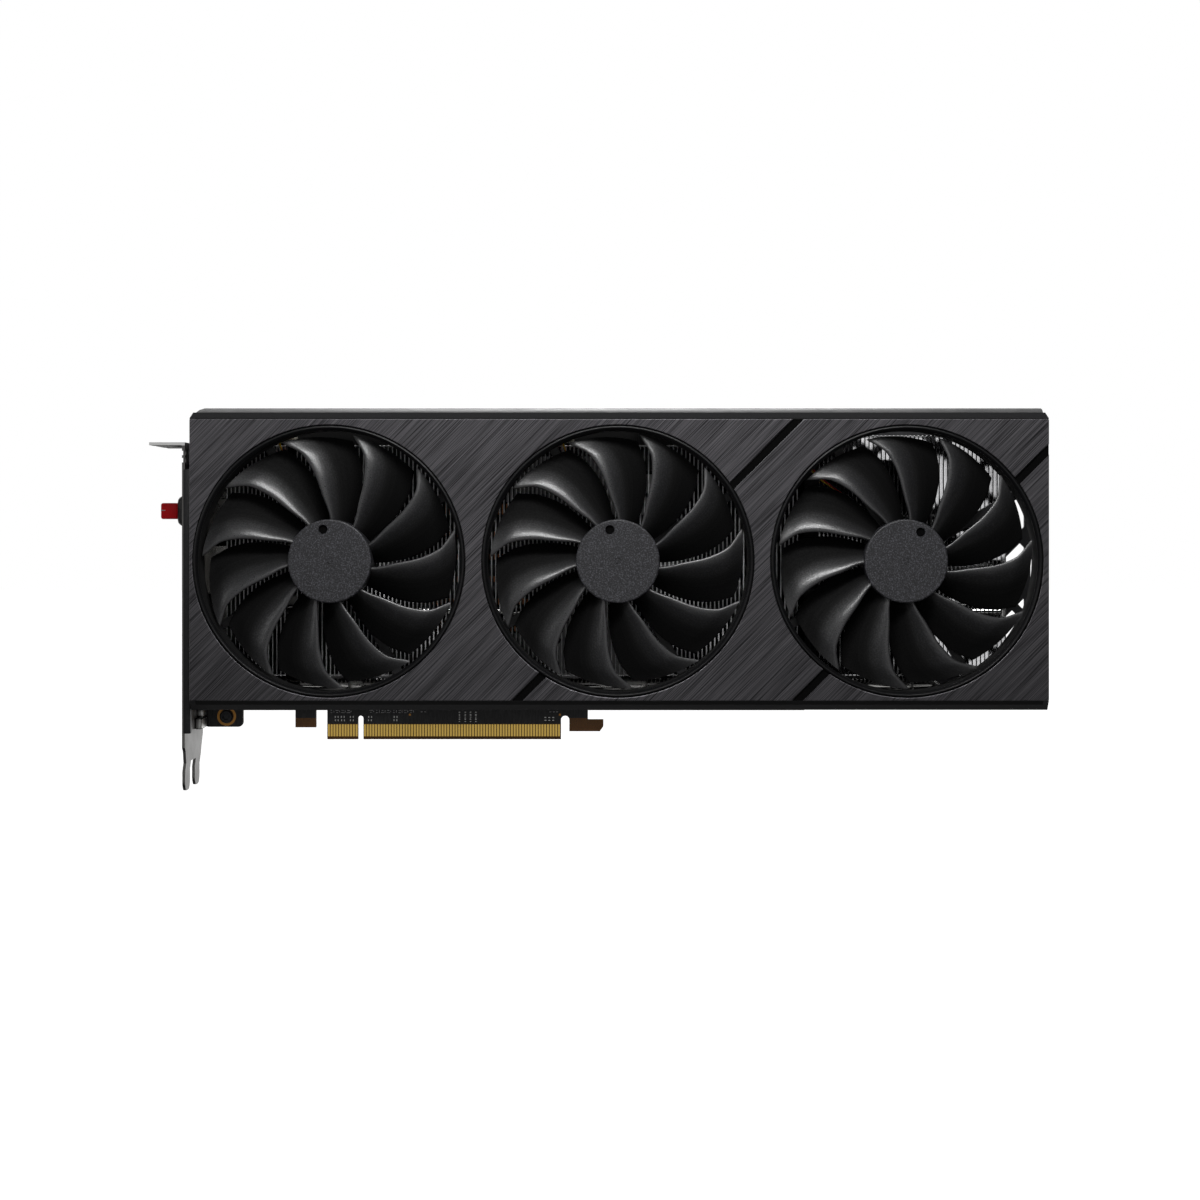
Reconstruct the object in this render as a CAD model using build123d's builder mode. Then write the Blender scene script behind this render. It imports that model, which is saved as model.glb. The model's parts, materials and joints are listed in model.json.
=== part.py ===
from build123d import *
from math import cos, hypot, radians, sin, tan
import os

# Two-slot graphics card with three fans, standing on its edge contacts.
# X runs along the card away from the bracket, Z up, and -Y is the fan side.
# "Height" is the distance from the board's mid-plane towards the fans, so height h is Y = -h.
# The origin is the middle of the key notch, at the bottom of the edge contacts.

os.makedirs("parts", exist_ok=True)

# ---- driving dimensions (mm) ----
BOARD_T = 1.6
BOARD_LEFT, BOARD_RIGHT = -56.5, 160.0
BOARD_BOTTOM, BOARD_TOP = 10.5, 112.0
SIDE = BOARD_T / 2  # height of the board's component side

SHROUD_LEFT, SHROUD_RIGHT = -55.2, 241.3
SHROUD_BOTTOM, SHROUD_TOP = 13.3, 116.2
CORNER_CUT = (0.9, 1.9)  # along X and Z
WALL = 1.8
FACE = 40.4  # height of the brushed face
PANEL_T = 1.2
PANEL_BOTTOM, PANEL_TOP = 16.7, 113.8
FRONT_WALL = 2.0
RIM = 18.0  # height where the shroud's side walls end

FAN_X = (-7.1, 92.6, 192.3)
FAN_Z = 64.8
FAN_TURN = (87.5, 90.5, 85.0)  # angle of one leading blade root on each fan, degrees
HOLE_TURN = (101.5, 104.5, 63.7)  # angle of each hub's balance hole, degrees
BLADES = 11
OPENING_R = 45.2
TRIM_R = 46.8
PANEL_HOLE_R = 47.1
DUCT_END = 27.0
TIP_R = 44.3
HUB_R, HUB_TOP, HUB_END = 14.5, 38.6, 26.0
HUB_WALL, HUB_LID = 1.2, 1.5
SHAFT_R = 1.0
ARM_ANGLES = (30, 120, 210, 300)
EAR_R = 49.5
BASE_BOTTOM, BASE_TOP = 22.6, 24.6  # motor base and arms of a fan frame

CHIP_X, CHIP_Z = 45.0, 62.0
PIPE_R = 3.0
PIPE_HEIGHT = 9.05
PIPE_Z = (46, 54, 62, 70, 78)
EDGE_PIPE_Z = 19.5  # the pipe that runs below the fins
FIN_T = 0.6
FIN_PITCH = 3.0
FIN_BOTTOM, FIN_TOP = 24.0, 105.5
OPEN_FIN_TOP = 109.0  # the fins past the board stand higher
FIN_FRONT = 19.0

BACK_INNER, BACK_OUTER = -3.6, -5.2
BACK_LEFT, BACK_RIGHT = -55.2, 242.3
BACK_BOTTOM, BACK_TOP = 11.4, 116.0

BRACKET_OUTER, BRACKET_T = -58.6, 1.0
BRACKET_INNER = BRACKET_OUTER + BRACKET_T
BRACKET_FRONT, BRACKET_BACK = 35.3, -3.4  # heights of its two long edges
TAB_Z, TAB_REACH = 105.0, 11.4
TONGUE_HEIGHTS = (6.9, 27.2)
TONGUE_W = 10.19
JOGGLE = -0.4  # how far the tongues' lower part stands along X from the plate
PORT_Z = (82.3, 61.3, 40.3)
HDMI_Z = 19.3
PORT_END = -40.0

SCREW_R = 1.2
SCREW_HOLE_R = 1.3
POSTS_ON_BOARD = ((-50.0, 108.5), (42.7, 108.5), (144.0, 108.5))
POSTS_PAST_BOARD = ((236.0, 108.5), (236.0, 18.0))
CHIP_SCREWS = [(CHIP_X + i, CHIP_Z + j) for i in (-26, 26) for j in (-26, 26)]
PLATE_SCREWS = ((-14, 28), (-14, 98), (104, 28), (104, 88))
BOARD_SCREW = (-48.4, 8.3)
BRACKET_SCREWS = ((-22, 97.5), (-22, 20), (-31, 20))  # (Y, Z) of the screws into the shroud's end

LEAD_D = 1.2
HEADER_X = (-27.7, 72.0, 152.0)
HEADER_Z = 109.0
POWER_X = (109.5, 129.5)


def level(height):
    """Drawing plane parallel to the board, seen from the fan side, at a height."""
    return Plane.XZ.offset(height)


def fan_plane(number, height):
    """Drawing plane on a fan's axis, its normal towards the viewer of the fans."""
    return Plane(origin=(FAN_X[number], -height, FAN_Z), x_dir=(1, 0, 0), z_dir=(0, -1, 0))


def write(piece, name):
    """Label a finished sub-part and write it as the node of that name."""
    piece.part.label = name
    export_step(piece.part, f"parts/{name}.step")


def blocks(centres, width, tall, low, high, name):
    """Equal blocks standing on the board side, written as one node."""
    with BuildPart() as group:
        with BuildSketch(level(low)):
            with Locations(*centres):
                Rectangle(width, tall)
        extrude(amount=high - low)
    write(group, name)


# ---- circuit board ----
with BuildPart() as board:
    with BuildSketch(level(-SIDE)):
        with Locations(((BOARD_LEFT + BOARD_RIGHT) / 2, (BOARD_BOTTOM + BOARD_TOP) / 2)):
            Rectangle(BOARD_RIGHT - BOARD_LEFT, BOARD_TOP - BOARD_BOTTOM)
        with Locations((-49.45, 12.5)):  # lobe for the bracket screw
            RectangleRounded(14.1, 16.0, 1.8)
        with Locations((-19.85, 8.0)):
            Rectangle(7.5, 7.4)
        with Locations((30.05, 6.0)):  # edge connector
            Rectangle(84.3, 12.0)
        with Locations((73.7, 9.5)):
            Rectangle(3.2, 5.0)
        with Locations((78.55, 8.0)):  # retention hook: neck and arm
            Rectangle(6.7, 8.0)
        with BuildLine():
            Polyline((75.2, 2.9), (86.2, 2.9), (87.5, 4.7), (87.5, 7.2), (75.2, 7.2), close=True)
        make_face()
        with Locations((0, 3.775)):  # key notch
            Rectangle(1.9, 7.55, mode=Mode.SUBTRACT)
        with Locations((0, 7.55)):
            Circle(0.95, mode=Mode.SUBTRACT)
        with Locations((73.7, 7.0)):
            Circle(1.5, mode=Mode.SUBTRACT)
        with Locations(*CHIP_SCREWS, *PLATE_SCREWS, *POSTS_ON_BOARD):
            Circle(SCREW_HOLE_R, mode=Mode.SUBTRACT)
        with Locations(BOARD_SCREW):
            Circle(1.6, mode=Mode.SUBTRACT)
    extrude(amount=BOARD_T)
    with BuildSketch(Plane.YZ.offset(-13)):  # bevels that lead the contacts into a slot
        with BuildLine():
            Polyline((-0.9, -0.1), (-0.9, 1.1), (-SIDE, 1.1), (-0.45, -0.1), close=True)
        make_face()
        with BuildLine():
            Polyline((0.9, -0.1), (0.9, 1.1), (SIDE, 1.1), (0.45, -0.1), close=True)
        make_face()
    extrude(amount=86, mode=Mode.SUBTRACT)
write(board, "circuit_board")

# ---- edge contacts: 11 and 71 positions at 1 mm, on both sides ----
CONTACT_T = 0.05
contact_x = [x + 0.5 for x in range(-12, -1)] + [x + 0.5 for x in range(1, 72)]
with BuildPart() as contacts:
    for low in (SIDE, -SIDE - CONTACT_T):
        with BuildSketch(level(low)):
            with Locations(*[(x, 3.25) for x in contact_x]):
                Rectangle(0.7, 4.3)
        extrude(amount=CONTACT_T)
write(contacts, "edge_contacts")

# ---- chips and power parts on the board ----
MEMORY_TOP, PLATE_BOTTOM, PLATE_TOP = 1.9, 3.0, 4.4
side_memory = [(CHIP_X + i, CHIP_Z + j) for i in (-31, 31) for j in (-15, 0, 15)]
STAGE_POINTS = [(-13, z) for z in range(38, 89, 10)] + [(105, z) for z in range(46, 77, 10)]
CHOKE_POINTS = [(-4, z) for z in range(38, 89, 10)] + [(96, z) for z in range(46, 77, 10)]
STAGE_TOP = 1.7

blocks([(CHIP_X, CHIP_Z)], 38, 38, SIDE, 2.2, "chip_substrate")
blocks([(CHIP_X, CHIP_Z)], 20, 14, 2.2, 3.0, "chip_die")
blocks(side_memory, 14, 12, SIDE, MEMORY_TOP, "memory_chips")
blocks(STAGE_POINTS, 5, 6, SIDE, STAGE_TOP, "power_stages")
blocks(CHOKE_POINTS, 8, 8, SIDE, 5.2, "chokes")

with BuildPart() as pads:
    with BuildSketch(level(MEMORY_TOP)):
        with Locations(*side_memory):
            Rectangle(13, 11)
    extrude(amount=PLATE_BOTTOM - MEMORY_TOP)
    with BuildSketch(level(STAGE_TOP)):
        with Locations(*STAGE_POINTS):
            Rectangle(5, 7)
    extrude(amount=PLATE_BOTTOM - STAGE_TOP)
write(pads, "thermal_pads")

with BuildPart() as capacitors:
    with BuildSketch(level(SIDE)):
        with Locations(*[(-24.5, z) for z in (40, 50, 60, 70, 80)], *[(118, z) for z in (44, 54, 64, 74)]):
            Circle(2.5)
    extrude(amount=5.0)
    fillet(capacitors.faces().sort_by(Axis.Y)[:9].edges(), 0.4)
write(capacitors, "capacitors")

# ---- cooler: cold plate, memory plate, heat pipes, fins ----
with BuildPart() as cold_plate:
    with BuildSketch(level(3.0)):
        with Locations((CHIP_X, CHIP_Z)):
            RectangleRounded(46, 46, 2)
    extrude(amount=3.0)
write(cold_plate, "cold_plate")

with BuildPart() as memory_plate:
    with BuildSketch(level(PLATE_BOTTOM)):
        with Locations((CHIP_X + 0.5, CHIP_Z)):
            RectangleRounded(127, 80, 3)
        with Locations((CHIP_X, CHIP_Z)):
            Rectangle(47, 47, mode=Mode.SUBTRACT)
        with Locations((-4, 63)):
            Rectangle(9.5, 59.5, mode=Mode.SUBTRACT)
        with Locations((96, 61)):
            Rectangle(9.5, 39.5, mode=Mode.SUBTRACT)
        with Locations((104.5, 99.5)):  # corner left free for the power sockets
            Rectangle(11, 8, mode=Mode.SUBTRACT)
    extrude(amount=PLATE_TOP - PLATE_BOTTOM)
    with BuildSketch(level(SIDE)):  # posts that stand on the board round each screw
        with Locations(*CHIP_SCREWS, *PLATE_SCREWS):
            Circle(2.5)
    extrude(amount=PLATE_BOTTOM - SIDE)
    with BuildSketch(level(SIDE)):
        with Locations(*CHIP_SCREWS, *PLATE_SCREWS):
            Circle(SCREW_R + 0.05)
    extrude(amount=PLATE_TOP - SIDE, mode=Mode.SUBTRACT)
write(memory_plate, "memory_plate")

BEND_X = -22.0
BEND_R = (PIPE_Z[0] - EDGE_PIPE_Z) / 2
PIPE_END = 231.0
EDGE_PIPE_END = 208.0
with BuildPart() as pipes:
    with BuildLine() as return_pipe:  # leaves the cold plate, turns back and runs below the fins
        upper = Line((PIPE_END, -PIPE_HEIGHT, PIPE_Z[0]), (BEND_X, -PIPE_HEIGHT, PIPE_Z[0]))
        turn = Line((BEND_X, -PIPE_HEIGHT, EDGE_PIPE_Z), (EDGE_PIPE_END, -PIPE_HEIGHT, EDGE_PIPE_Z))
        ThreePointArc(upper @ 1, (BEND_X - BEND_R, -PIPE_HEIGHT, PIPE_Z[0] - BEND_R), turn @ 0)
    with BuildSketch(Plane(origin=upper @ 0, z_dir=upper % 0)):
        Circle(PIPE_R)
    sweep(path=return_pipe.line)
    with BuildSketch(Plane.YZ.offset(-20)):
        with Locations(*[(-PIPE_HEIGHT, z) for z in PIPE_Z[1:]]):
            Circle(PIPE_R)
    extrude(amount=PIPE_END + 20)
write(pipes, "heat_pipes")


def fin_stack(left, right, back, top, name):
    """Fins across X with holes for the pipes, held together by three thin strips."""
    count = int((right - left) / FIN_PITCH)
    middle_z = (FIN_BOTTOM + top) / 2
    with BuildPart() as stack:
        with BuildSketch(level(back)):
            with Locations(((left + right) / 2, middle_z)):
                with GridLocations(FIN_PITCH, 1, count, 1):
                    Rectangle(FIN_T, top - FIN_BOTTOM)
        extrude(amount=FIN_FRONT - back)
        with BuildSketch(level(12.5)):
            with Locations(*[((left + right) / 2, z) for z in (30, middle_z, 92)]):
                Rectangle((count - 1) * FIN_PITCH + FIN_T, 4)
        extrude(amount=0.5)
        if back < PIPE_HEIGHT:
            with BuildSketch(Plane.YZ.offset(left - 5)):
                with Locations(*[(-PIPE_HEIGHT, z) for z in PIPE_Z]):
                    Circle(PIPE_R + 0.1)
            extrude(amount=right - left + 10, mode=Mode.SUBTRACT)
        if left < POWER_X[0] < right:  # room for the power sockets
            with BuildSketch(level(back)):
                with Locations(((POWER_X[0] + POWER_X[1]) / 2, top)):
                    Rectangle(42, 21)
            extrude(amount=12.4 - back, mode=Mode.SUBTRACT)
    write(stack, name)


fin_stack(-47.0, -22.6, 12.4, FIN_TOP, "bracket_side_fins")
fin_stack(-22.0, 158.0, 6.4, FIN_TOP, "main_fins")
fin_stack(162.0, 232.0, -2.4, OPEN_FIN_TOP, "flow_through_fins")

# ---- fans ----
# Polar course of a blade's two edges from the leading root, counter-clockwise positive:
# radius, leading angle, trailing angle, leading height, trailing height.
BLADE_SECTIONS = (
    (13.7, -0.5, -26.0, 36.6, 27.8),
    (22.0, 6.2, -22.8, 37.2, 27.6),
    (31.0, 10.2, -18.3, 37.4, 27.8),
    (38.5, 15.0, -13.2, 37.0, 28.4),
    (44.9, 23.0, -8.8, 36.0, 29.2),
)
BLADE_T = 1.2

with BuildPart() as blade:
    for radius, lead_angle, trail_angle, lead_height, trail_height in BLADE_SECTIONS:
        middle = radians((lead_angle + trail_angle) / 2)
        half = radius * tan(radians((lead_angle - trail_angle) / 2))
        span = hypot(2 * half, lead_height - trail_height)
        across = (-(lead_height - trail_height) / span, 2 * half / span)
        section_plane = Plane(
            origin=(radius * cos(middle), radius * sin(middle), 0),
            x_dir=(-sin(middle), cos(middle), 0),
            z_dir=(cos(middle), sin(middle), 0),
        )
        ends = ((half, lead_height), (-half, trail_height))
        corners = [
            (ends[i][0] + side * across[0] * BLADE_T / 2, ends[i][1] + side * across[1] * BLADE_T / 2)
            for i, side in ((0, 1), (0, -1), (1, -1), (1, 1))
        ]
        with BuildSketch(section_plane):
            with BuildLine():
                Polyline(*corners, close=True)
            make_face()
    loft()
    with BuildSketch(Plane.XY.offset(20)):
        Circle(TIP_R)
    extrude(amount=25, mode=Mode.INTERSECT)


def fan(number):
    """One fan: rotor, magnet ring, shaft, bearing, stator, frame, lead and plug."""
    tag = f"fan_{number + 1}"
    axis = fan_plane(number, 0)

    with BuildPart(axis) as rotor:
        with BuildSketch(axis.offset(HUB_END)):
            Circle(HUB_R)
        extrude(amount=HUB_TOP - HUB_END)
        fillet(rotor.edges().sort_by(Axis.Y)[0], 0.9)
        with BuildSketch(axis.offset(HUB_END)):
            Circle(HUB_R - HUB_WALL)
        extrude(amount=HUB_TOP - HUB_END - HUB_LID, mode=Mode.SUBTRACT)
        with BuildSketch(axis.offset(HUB_TOP - HUB_LID - 2)):  # boss that holds the shaft
            Circle(2.4)
            Circle(SHAFT_R + 0.02, mode=Mode.SUBTRACT)
        extrude(amount=2)
        with BuildSketch(axis.offset(HUB_TOP - 0.8)):  # balance hole and centre dimple
            with PolarLocations(11.2, 1, start_angle=HOLE_TURN[number]):
                Circle(1.5)
            Circle(0.9)
        extrude(amount=0.8, mode=Mode.SUBTRACT)
        with PolarLocations(0, BLADES, start_angle=FAN_TURN[number]):
            add(blade.part)
    write(rotor, f"{tag}_rotor")

    with BuildPart() as magnet:
        with BuildSketch(axis.offset(27)):
            Circle(HUB_R - HUB_WALL - 0.05)
            Circle(11.2, mode=Mode.SUBTRACT)
        extrude(amount=8)
    write(magnet, f"{tag}_magnet_ring")

    with BuildPart() as shaft:
        with BuildSketch(axis.offset(25.4)):
            Circle(SHAFT_R)
        extrude(amount=HUB_TOP - HUB_LID - 25.4)
    write(shaft, f"{tag}_shaft")

    with BuildPart() as bearing:
        with BuildSketch(axis.offset(BASE_TOP)):
            Circle(3.0)
            Circle(SHAFT_R + 0.05, mode=Mode.SUBTRACT)
        extrude(amount=9)
    write(bearing, f"{tag}_bearing")

    with BuildPart() as stator:
        with BuildSketch(axis.offset(26.4)):
            Circle(5.6)
            with PolarLocations(7.2, 6):
                Rectangle(4.4, 2.6)
            with PolarLocations(9.6, 6):
                Rectangle(1.4, 6.6)
            Circle(4.05, mode=Mode.SUBTRACT)
        extrude(amount=7)
    write(stator, f"{tag}_stator")

    with BuildPart() as frame:
        with BuildSketch(axis.offset(BASE_BOTTOM)):
            Circle(14.8)
            with PolarLocations(0, 4, start_angle=ARM_ANGLES[0]):
                with Locations((EAR_R / 2, 0)):
                    Rectangle(EAR_R, 3.2)
            with PolarLocations(EAR_R, 4, start_angle=ARM_ANGLES[0]):
                Circle(3.0)
                Circle(1.15, mode=Mode.SUBTRACT)
        extrude(amount=BASE_TOP - BASE_BOTTOM)
        with BuildSketch(axis.offset(BASE_TOP)):  # tube that holds bearing and stator
            Circle(3.95)
            Circle(3.05, mode=Mode.SUBTRACT)
        extrude(amount=8.6)
    write(frame, f"{tag}_frame")


for fan_number in range(3):
    fan(fan_number)

with BuildPart() as fan_screws:
    for fan_number in range(3):
        with BuildSketch(fan_plane(fan_number, BASE_BOTTOM - 1.6)):
            with PolarLocations(EAR_R, 4, start_angle=ARM_ANGLES[0]):
                Circle(2.1)
        extrude(amount=1.6)
        with BuildSketch(fan_plane(fan_number, BASE_BOTTOM)):
            with PolarLocations(EAR_R, 4, start_angle=ARM_ANGLES[0]):
                Circle(1.0)
        extrude(amount=7)
        with BuildSketch(fan_plane(fan_number, BASE_BOTTOM - 1.6)):  # cross recess
            with PolarLocations(EAR_R, 4, start_angle=ARM_ANGLES[0]):
                Rectangle(2.4, 0.6)
                Rectangle(0.6, 2.4)
        extrude(amount=0.7, mode=Mode.SUBTRACT)
write(fan_screws, "fan_screws")

# ---- fan leads, headers and plugs ----
# Each lead leaves its motor base under the arms and drops to its plug past the fins' upper edge.
LEAD_HEIGHT = 21.7
PLUG_TOP = 8.2
LEAD_COURSE = (
    ((11.0, 122.0), (22.0, 113.0), (34.5, 117.0)),
    ((11.0, 122.0), (22.0, 113.0), (34.5, 117.0)),
    ((11.0, 139.0), (27.0, 129.5), (43.0, 134.5)),
)


def lead(number):
    """A fan's lead: straight runs joined by arcs as large as the runs allow."""
    points = [
        (FAN_X[number] + r * cos(radians(a)), -LEAD_HEIGHT, FAN_Z + r * sin(radians(a)))
        for r, a in LEAD_COURSE[number]
    ]
    points.append((HEADER_X[number], -LEAD_HEIGHT, HEADER_Z))
    points.append((HEADER_X[number], -PLUG_TOP, HEADER_Z))
    corners = [Vector(*point) for point in points]
    runs = [after - before for before, after in zip(corners, corners[1:])]
    radii = []
    for before, after in zip(runs, runs[1:]):
        half_turn = radians(before.get_angle(after)) / 2
        radii.append(0.45 * min(before.length, after.length) / tan(half_turn))
    with BuildPart() as tube:
        with BuildLine() as route:
            FilletPolyline(*points, radius=radii)
        with BuildSketch(Plane(origin=route.line @ 0, z_dir=route.line % 0)):
            Circle(LEAD_D / 2)
        sweep(path=route.line)
    length = route.wires()[0].length
    print("lead", number + 1, "radii", [round(r, 1) for r in radii], "length", round(length, 1))
    write(tube, f"fan_{number + 1}_lead")


for fan_number in range(3):
    lead(fan_number)

HEADER_TOP, HEADER_FLOOR = 4.8, 1.8
with BuildPart() as headers:
    with BuildSketch(level(SIDE)):
        with Locations(*[(x, HEADER_Z) for x in HEADER_X]):
            Rectangle(10, 4.6)
    extrude(amount=HEADER_TOP - SIDE)
    with BuildSketch(level(HEADER_FLOOR)):
        with Locations(*[(x, HEADER_Z) for x in HEADER_X]):
            Rectangle(8.4, 3.2)
    extrude(amount=HEADER_TOP - HEADER_FLOOR, mode=Mode.SUBTRACT)
write(headers, "fan_headers")
blocks([(x, HEADER_Z) for x in HEADER_X], 8.0, 2.8, HEADER_FLOOR, PLUG_TOP, "fan_plugs")

# ---- power sockets on the board's top edge, mouths upwards ----
SOCKET_BOTTOM, SOCKET_TOP = 97.0, 114.0
SOCKET_FRONT = 11.6
CAVITY_FLOOR = 102.0
socket_middle = -(SIDE + SOCKET_FRONT) / 2
cavities = [
    (x + i * 4.2, socket_middle + j * 2.1) for x in POWER_X for i in (-1.5, -0.5, 0.5, 1.5) for j in (-1, 1)
]
with BuildPart() as power_sockets:
    with BuildSketch(Plane.XY.offset(SOCKET_BOTTOM)):
        with Locations(*[(x, socket_middle) for x in POWER_X]):
            Rectangle(18.8, SOCKET_FRONT - SIDE)
    extrude(amount=SOCKET_TOP - SOCKET_BOTTOM)
    with BuildSketch(Plane.XY.offset(CAVITY_FLOOR)):
        with Locations(*cavities):
            Rectangle(3.6, 3.6)
    extrude(amount=SOCKET_TOP - CAVITY_FLOOR, mode=Mode.SUBTRACT)
write(power_sockets, "power_sockets")

with BuildPart() as power_pins:
    with BuildSketch(Plane.XY.offset(CAVITY_FLOOR)):
        with Locations(*cavities):
            Rectangle(1.0, 1.0)
    extrude(amount=9)
write(power_pins, "power_pins")

# ---- shroud ----
ear_points = [
    (x + EAR_R * cos(radians(a)), FAN_Z + EAR_R * sin(radians(a))) for x in FAN_X for a in ARM_ANGLES
]
BACK_OF_PANEL = FACE - PANEL_T
CAVITY_TOP = BACK_OF_PANEL - FRONT_WALL
with BuildPart() as shroud:
    with BuildSketch(Plane.YZ.offset(SHROUD_LEFT)):
        with BuildLine():
            Polyline(
                (-RIM, SHROUD_BOTTOM),
                (-36.9, SHROUD_BOTTOM),
                (-40.0, PANEL_BOTTOM),
                (-BACK_OF_PANEL, PANEL_BOTTOM),
                (-BACK_OF_PANEL, PANEL_TOP),
                (-40.0, PANEL_TOP),
                (-37.7, SHROUD_TOP),
                (-RIM, SHROUD_TOP),
                close=True,
            )
        make_face()
    extrude(amount=SHROUD_RIGHT - SHROUD_LEFT)
    with BuildSketch(level(RIM)):  # chamfered upper corners
        for end, inwards in ((SHROUD_LEFT, 1), (SHROUD_RIGHT, -1)):
            with BuildLine():
                Polyline(
                    (end, SHROUD_TOP),
                    (end + inwards * CORNER_CUT[0], SHROUD_TOP),
                    (end, SHROUD_TOP - CORNER_CUT[1]),
                    close=True,
                )
            make_face()
    extrude(amount=FACE - RIM, mode=Mode.SUBTRACT)
    with BuildSketch(Plane.XZ.offset(RIM)):
        with Locations(((SHROUD_LEFT + SHROUD_RIGHT) / 2, (SHROUD_BOTTOM + SHROUD_TOP) / 2)):
            Rectangle(SHROUD_RIGHT - SHROUD_LEFT - 2 * WALL, SHROUD_TOP - SHROUD_BOTTOM - 2 * WALL)
    extrude(amount=CAVITY_TOP - RIM, mode=Mode.SUBTRACT)
    with BuildSketch(level(DUCT_END)):  # fan ducts
        with Locations(*[(x, FAN_Z) for x in FAN_X]):
            Circle(TRIM_R)
    extrude(amount=CAVITY_TOP - DUCT_END)
    with BuildSketch(level(BASE_TOP)):  # bosses for the fan frames
        with Locations(*ear_points):
            Circle(2.6)
    extrude(amount=CAVITY_TOP - BASE_TOP)
    with BuildSketch(level(SIDE)):  # posts that meet the board, and below, the backplate
        with Locations(*POSTS_ON_BOARD):
            Circle(2.5)
    extrude(amount=CAVITY_TOP - SIDE)
    with BuildSketch(level(BACK_INNER)):
        with Locations(*POSTS_PAST_BOARD):
            Circle(2.5)
    extrude(amount=CAVITY_TOP - BACK_INNER)
    with BuildSketch(level(DUCT_END)):
        with Locations(*[(x, FAN_Z) for x in FAN_X]):
            Circle(OPENING_R)
    extrude(amount=BACK_OF_PANEL - DUCT_END, mode=Mode.SUBTRACT)
    with BuildSketch(level(BASE_TOP)):
        with Locations(*ear_points):
            Circle(1.05)
    extrude(amount=8, mode=Mode.SUBTRACT)
    with BuildSketch(level(BACK_INNER)):
        with Locations(*POSTS_ON_BOARD, *POSTS_PAST_BOARD):
            Circle(SCREW_R + 0.05)
    extrude(amount=16, mode=Mode.SUBTRACT)
    with BuildSketch(Plane.YZ.offset(SHROUD_LEFT)):  # holes for the bracket screws
        with Locations(*BRACKET_SCREWS):
            Circle(SCREW_R + 0.05)
    extrude(amount=WALL, mode=Mode.SUBTRACT)
    with BuildSketch(Plane.YZ.offset(SHROUD_RIGHT - WALL)):  # air slots in the far end
        with Locations((-27.5, FAN_Z)):
            with GridLocations(1, 14, 1, 6):
                SlotOverall(15, 5)
    extrude(amount=WALL, mode=Mode.SUBTRACT)
write(shroud, "shroud_body")

with BuildPart() as panel:
    with BuildSketch(level(BACK_OF_PANEL)):
        with Locations(((SHROUD_LEFT + SHROUD_RIGHT) / 2, (PANEL_BOTTOM + PANEL_TOP) / 2)):
            Rectangle(SHROUD_RIGHT - SHROUD_LEFT, PANEL_TOP - PANEL_BOTTOM)
        with Locations(*[(x, FAN_Z) for x in FAN_X]):
            Circle(PANEL_HOLE_R, mode=Mode.SUBTRACT)
    extrude(amount=PANEL_T)
    with BuildSketch(level(FACE - 0.8)):  # diagonal grooves past the middle and the far fan
        with Locations((FAN_X[1] + 6.9, FAN_Z - 6.9), (FAN_X[2] + 5.4, FAN_Z - 5.4)):
            Rectangle(170, 2.6, rotation=45)
    extrude(amount=0.8, mode=Mode.SUBTRACT)
write(panel, "face_panel")

with BuildPart() as trims:
    with BuildSketch(level(BACK_OF_PANEL)):
        with Locations(*[(x, FAN_Z) for x in FAN_X]):
            Circle(TRIM_R)
            Circle(OPENING_R, mode=Mode.SUBTRACT)
    extrude(amount=1.4)
    chamfer(trims.edges().group_by(Axis.Y)[0], 0.3)
write(trims, "fan_ring_trims")

with BuildPart() as rail:
    with BuildSketch(Plane.XY.offset(SHROUD_TOP)):
        with Locations(((SHROUD_LEFT + SHROUD_RIGHT) / 2, -26.5)):
            RectangleRounded(SHROUD_RIGHT - SHROUD_LEFT - 5.2, 17, 2)
    extrude(amount=1.6)
    fillet(rail.faces().sort_by(Axis.Z)[-1].edges(), 0.5)
write(rail, "top_rail")

# ---- backplate, with a lattice of vents behind the far fan ----
VENT_L, VENT_W, VENT_BAR = 16.1, 12.1, 3.1
VENT_CENTRE = (226.3, 71.5)
VENT_ZONE = ((176, 101), (176, 109), (240, 109), (240, 24), (202, 24), (202, 101))
WINDOW = 68.0
with BuildPart() as backplate:
    with BuildSketch(level(BACK_OUTER)) as plate_outline:
        with Locations(((BACK_LEFT + BACK_RIGHT) / 2, (BACK_BOTTOM + BACK_TOP) / 2)):
            RectangleRounded(BACK_RIGHT - BACK_LEFT, BACK_TOP - BACK_BOTTOM, 4)
        with Locations((CHIP_X, CHIP_Z)):
            RectangleRounded(WINDOW, WINDOW, 5, mode=Mode.SUBTRACT)
    extrude(amount=BACK_INNER - BACK_OUTER)
    with BuildSketch(level(BACK_OUTER)):
        with Locations(Location((*VENT_CENTRE, 0), (0, 0, 45))):
            with GridLocations(VENT_L + VENT_BAR, VENT_W + VENT_BAR, 9, 9):
                Rectangle(VENT_L, VENT_W)
        with BuildLine():
            Polyline(*VENT_ZONE, close=True)
        make_face(mode=Mode.INTERSECT)
        with Locations(*POSTS_PAST_BOARD):
            Circle(4.5, mode=Mode.SUBTRACT)
    extrude(amount=BACK_INNER - BACK_OUTER, mode=Mode.SUBTRACT)
    with BuildSketch(level(BACK_INNER)):  # spacers that meet the board
        with Locations(*PLATE_SCREWS, *POSTS_ON_BOARD):
            Circle(2.5)
    extrude(amount=-SIDE - BACK_INNER)
    with BuildSketch(level(BACK_OUTER)):
        with Locations(*PLATE_SCREWS, *POSTS_ON_BOARD, *POSTS_PAST_BOARD):
            Circle(SCREW_HOLE_R)
    extrude(amount=-SIDE - BACK_OUTER, mode=Mode.SUBTRACT)
    with BuildSketch(level(BACK_OUTER)):
        with Locations(*PLATE_SCREWS, *POSTS_ON_BOARD, *POSTS_PAST_BOARD):
            Circle(2.4)
    extrude(amount=1.1, mode=Mode.SUBTRACT)
write(backplate, "backplate")


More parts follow.
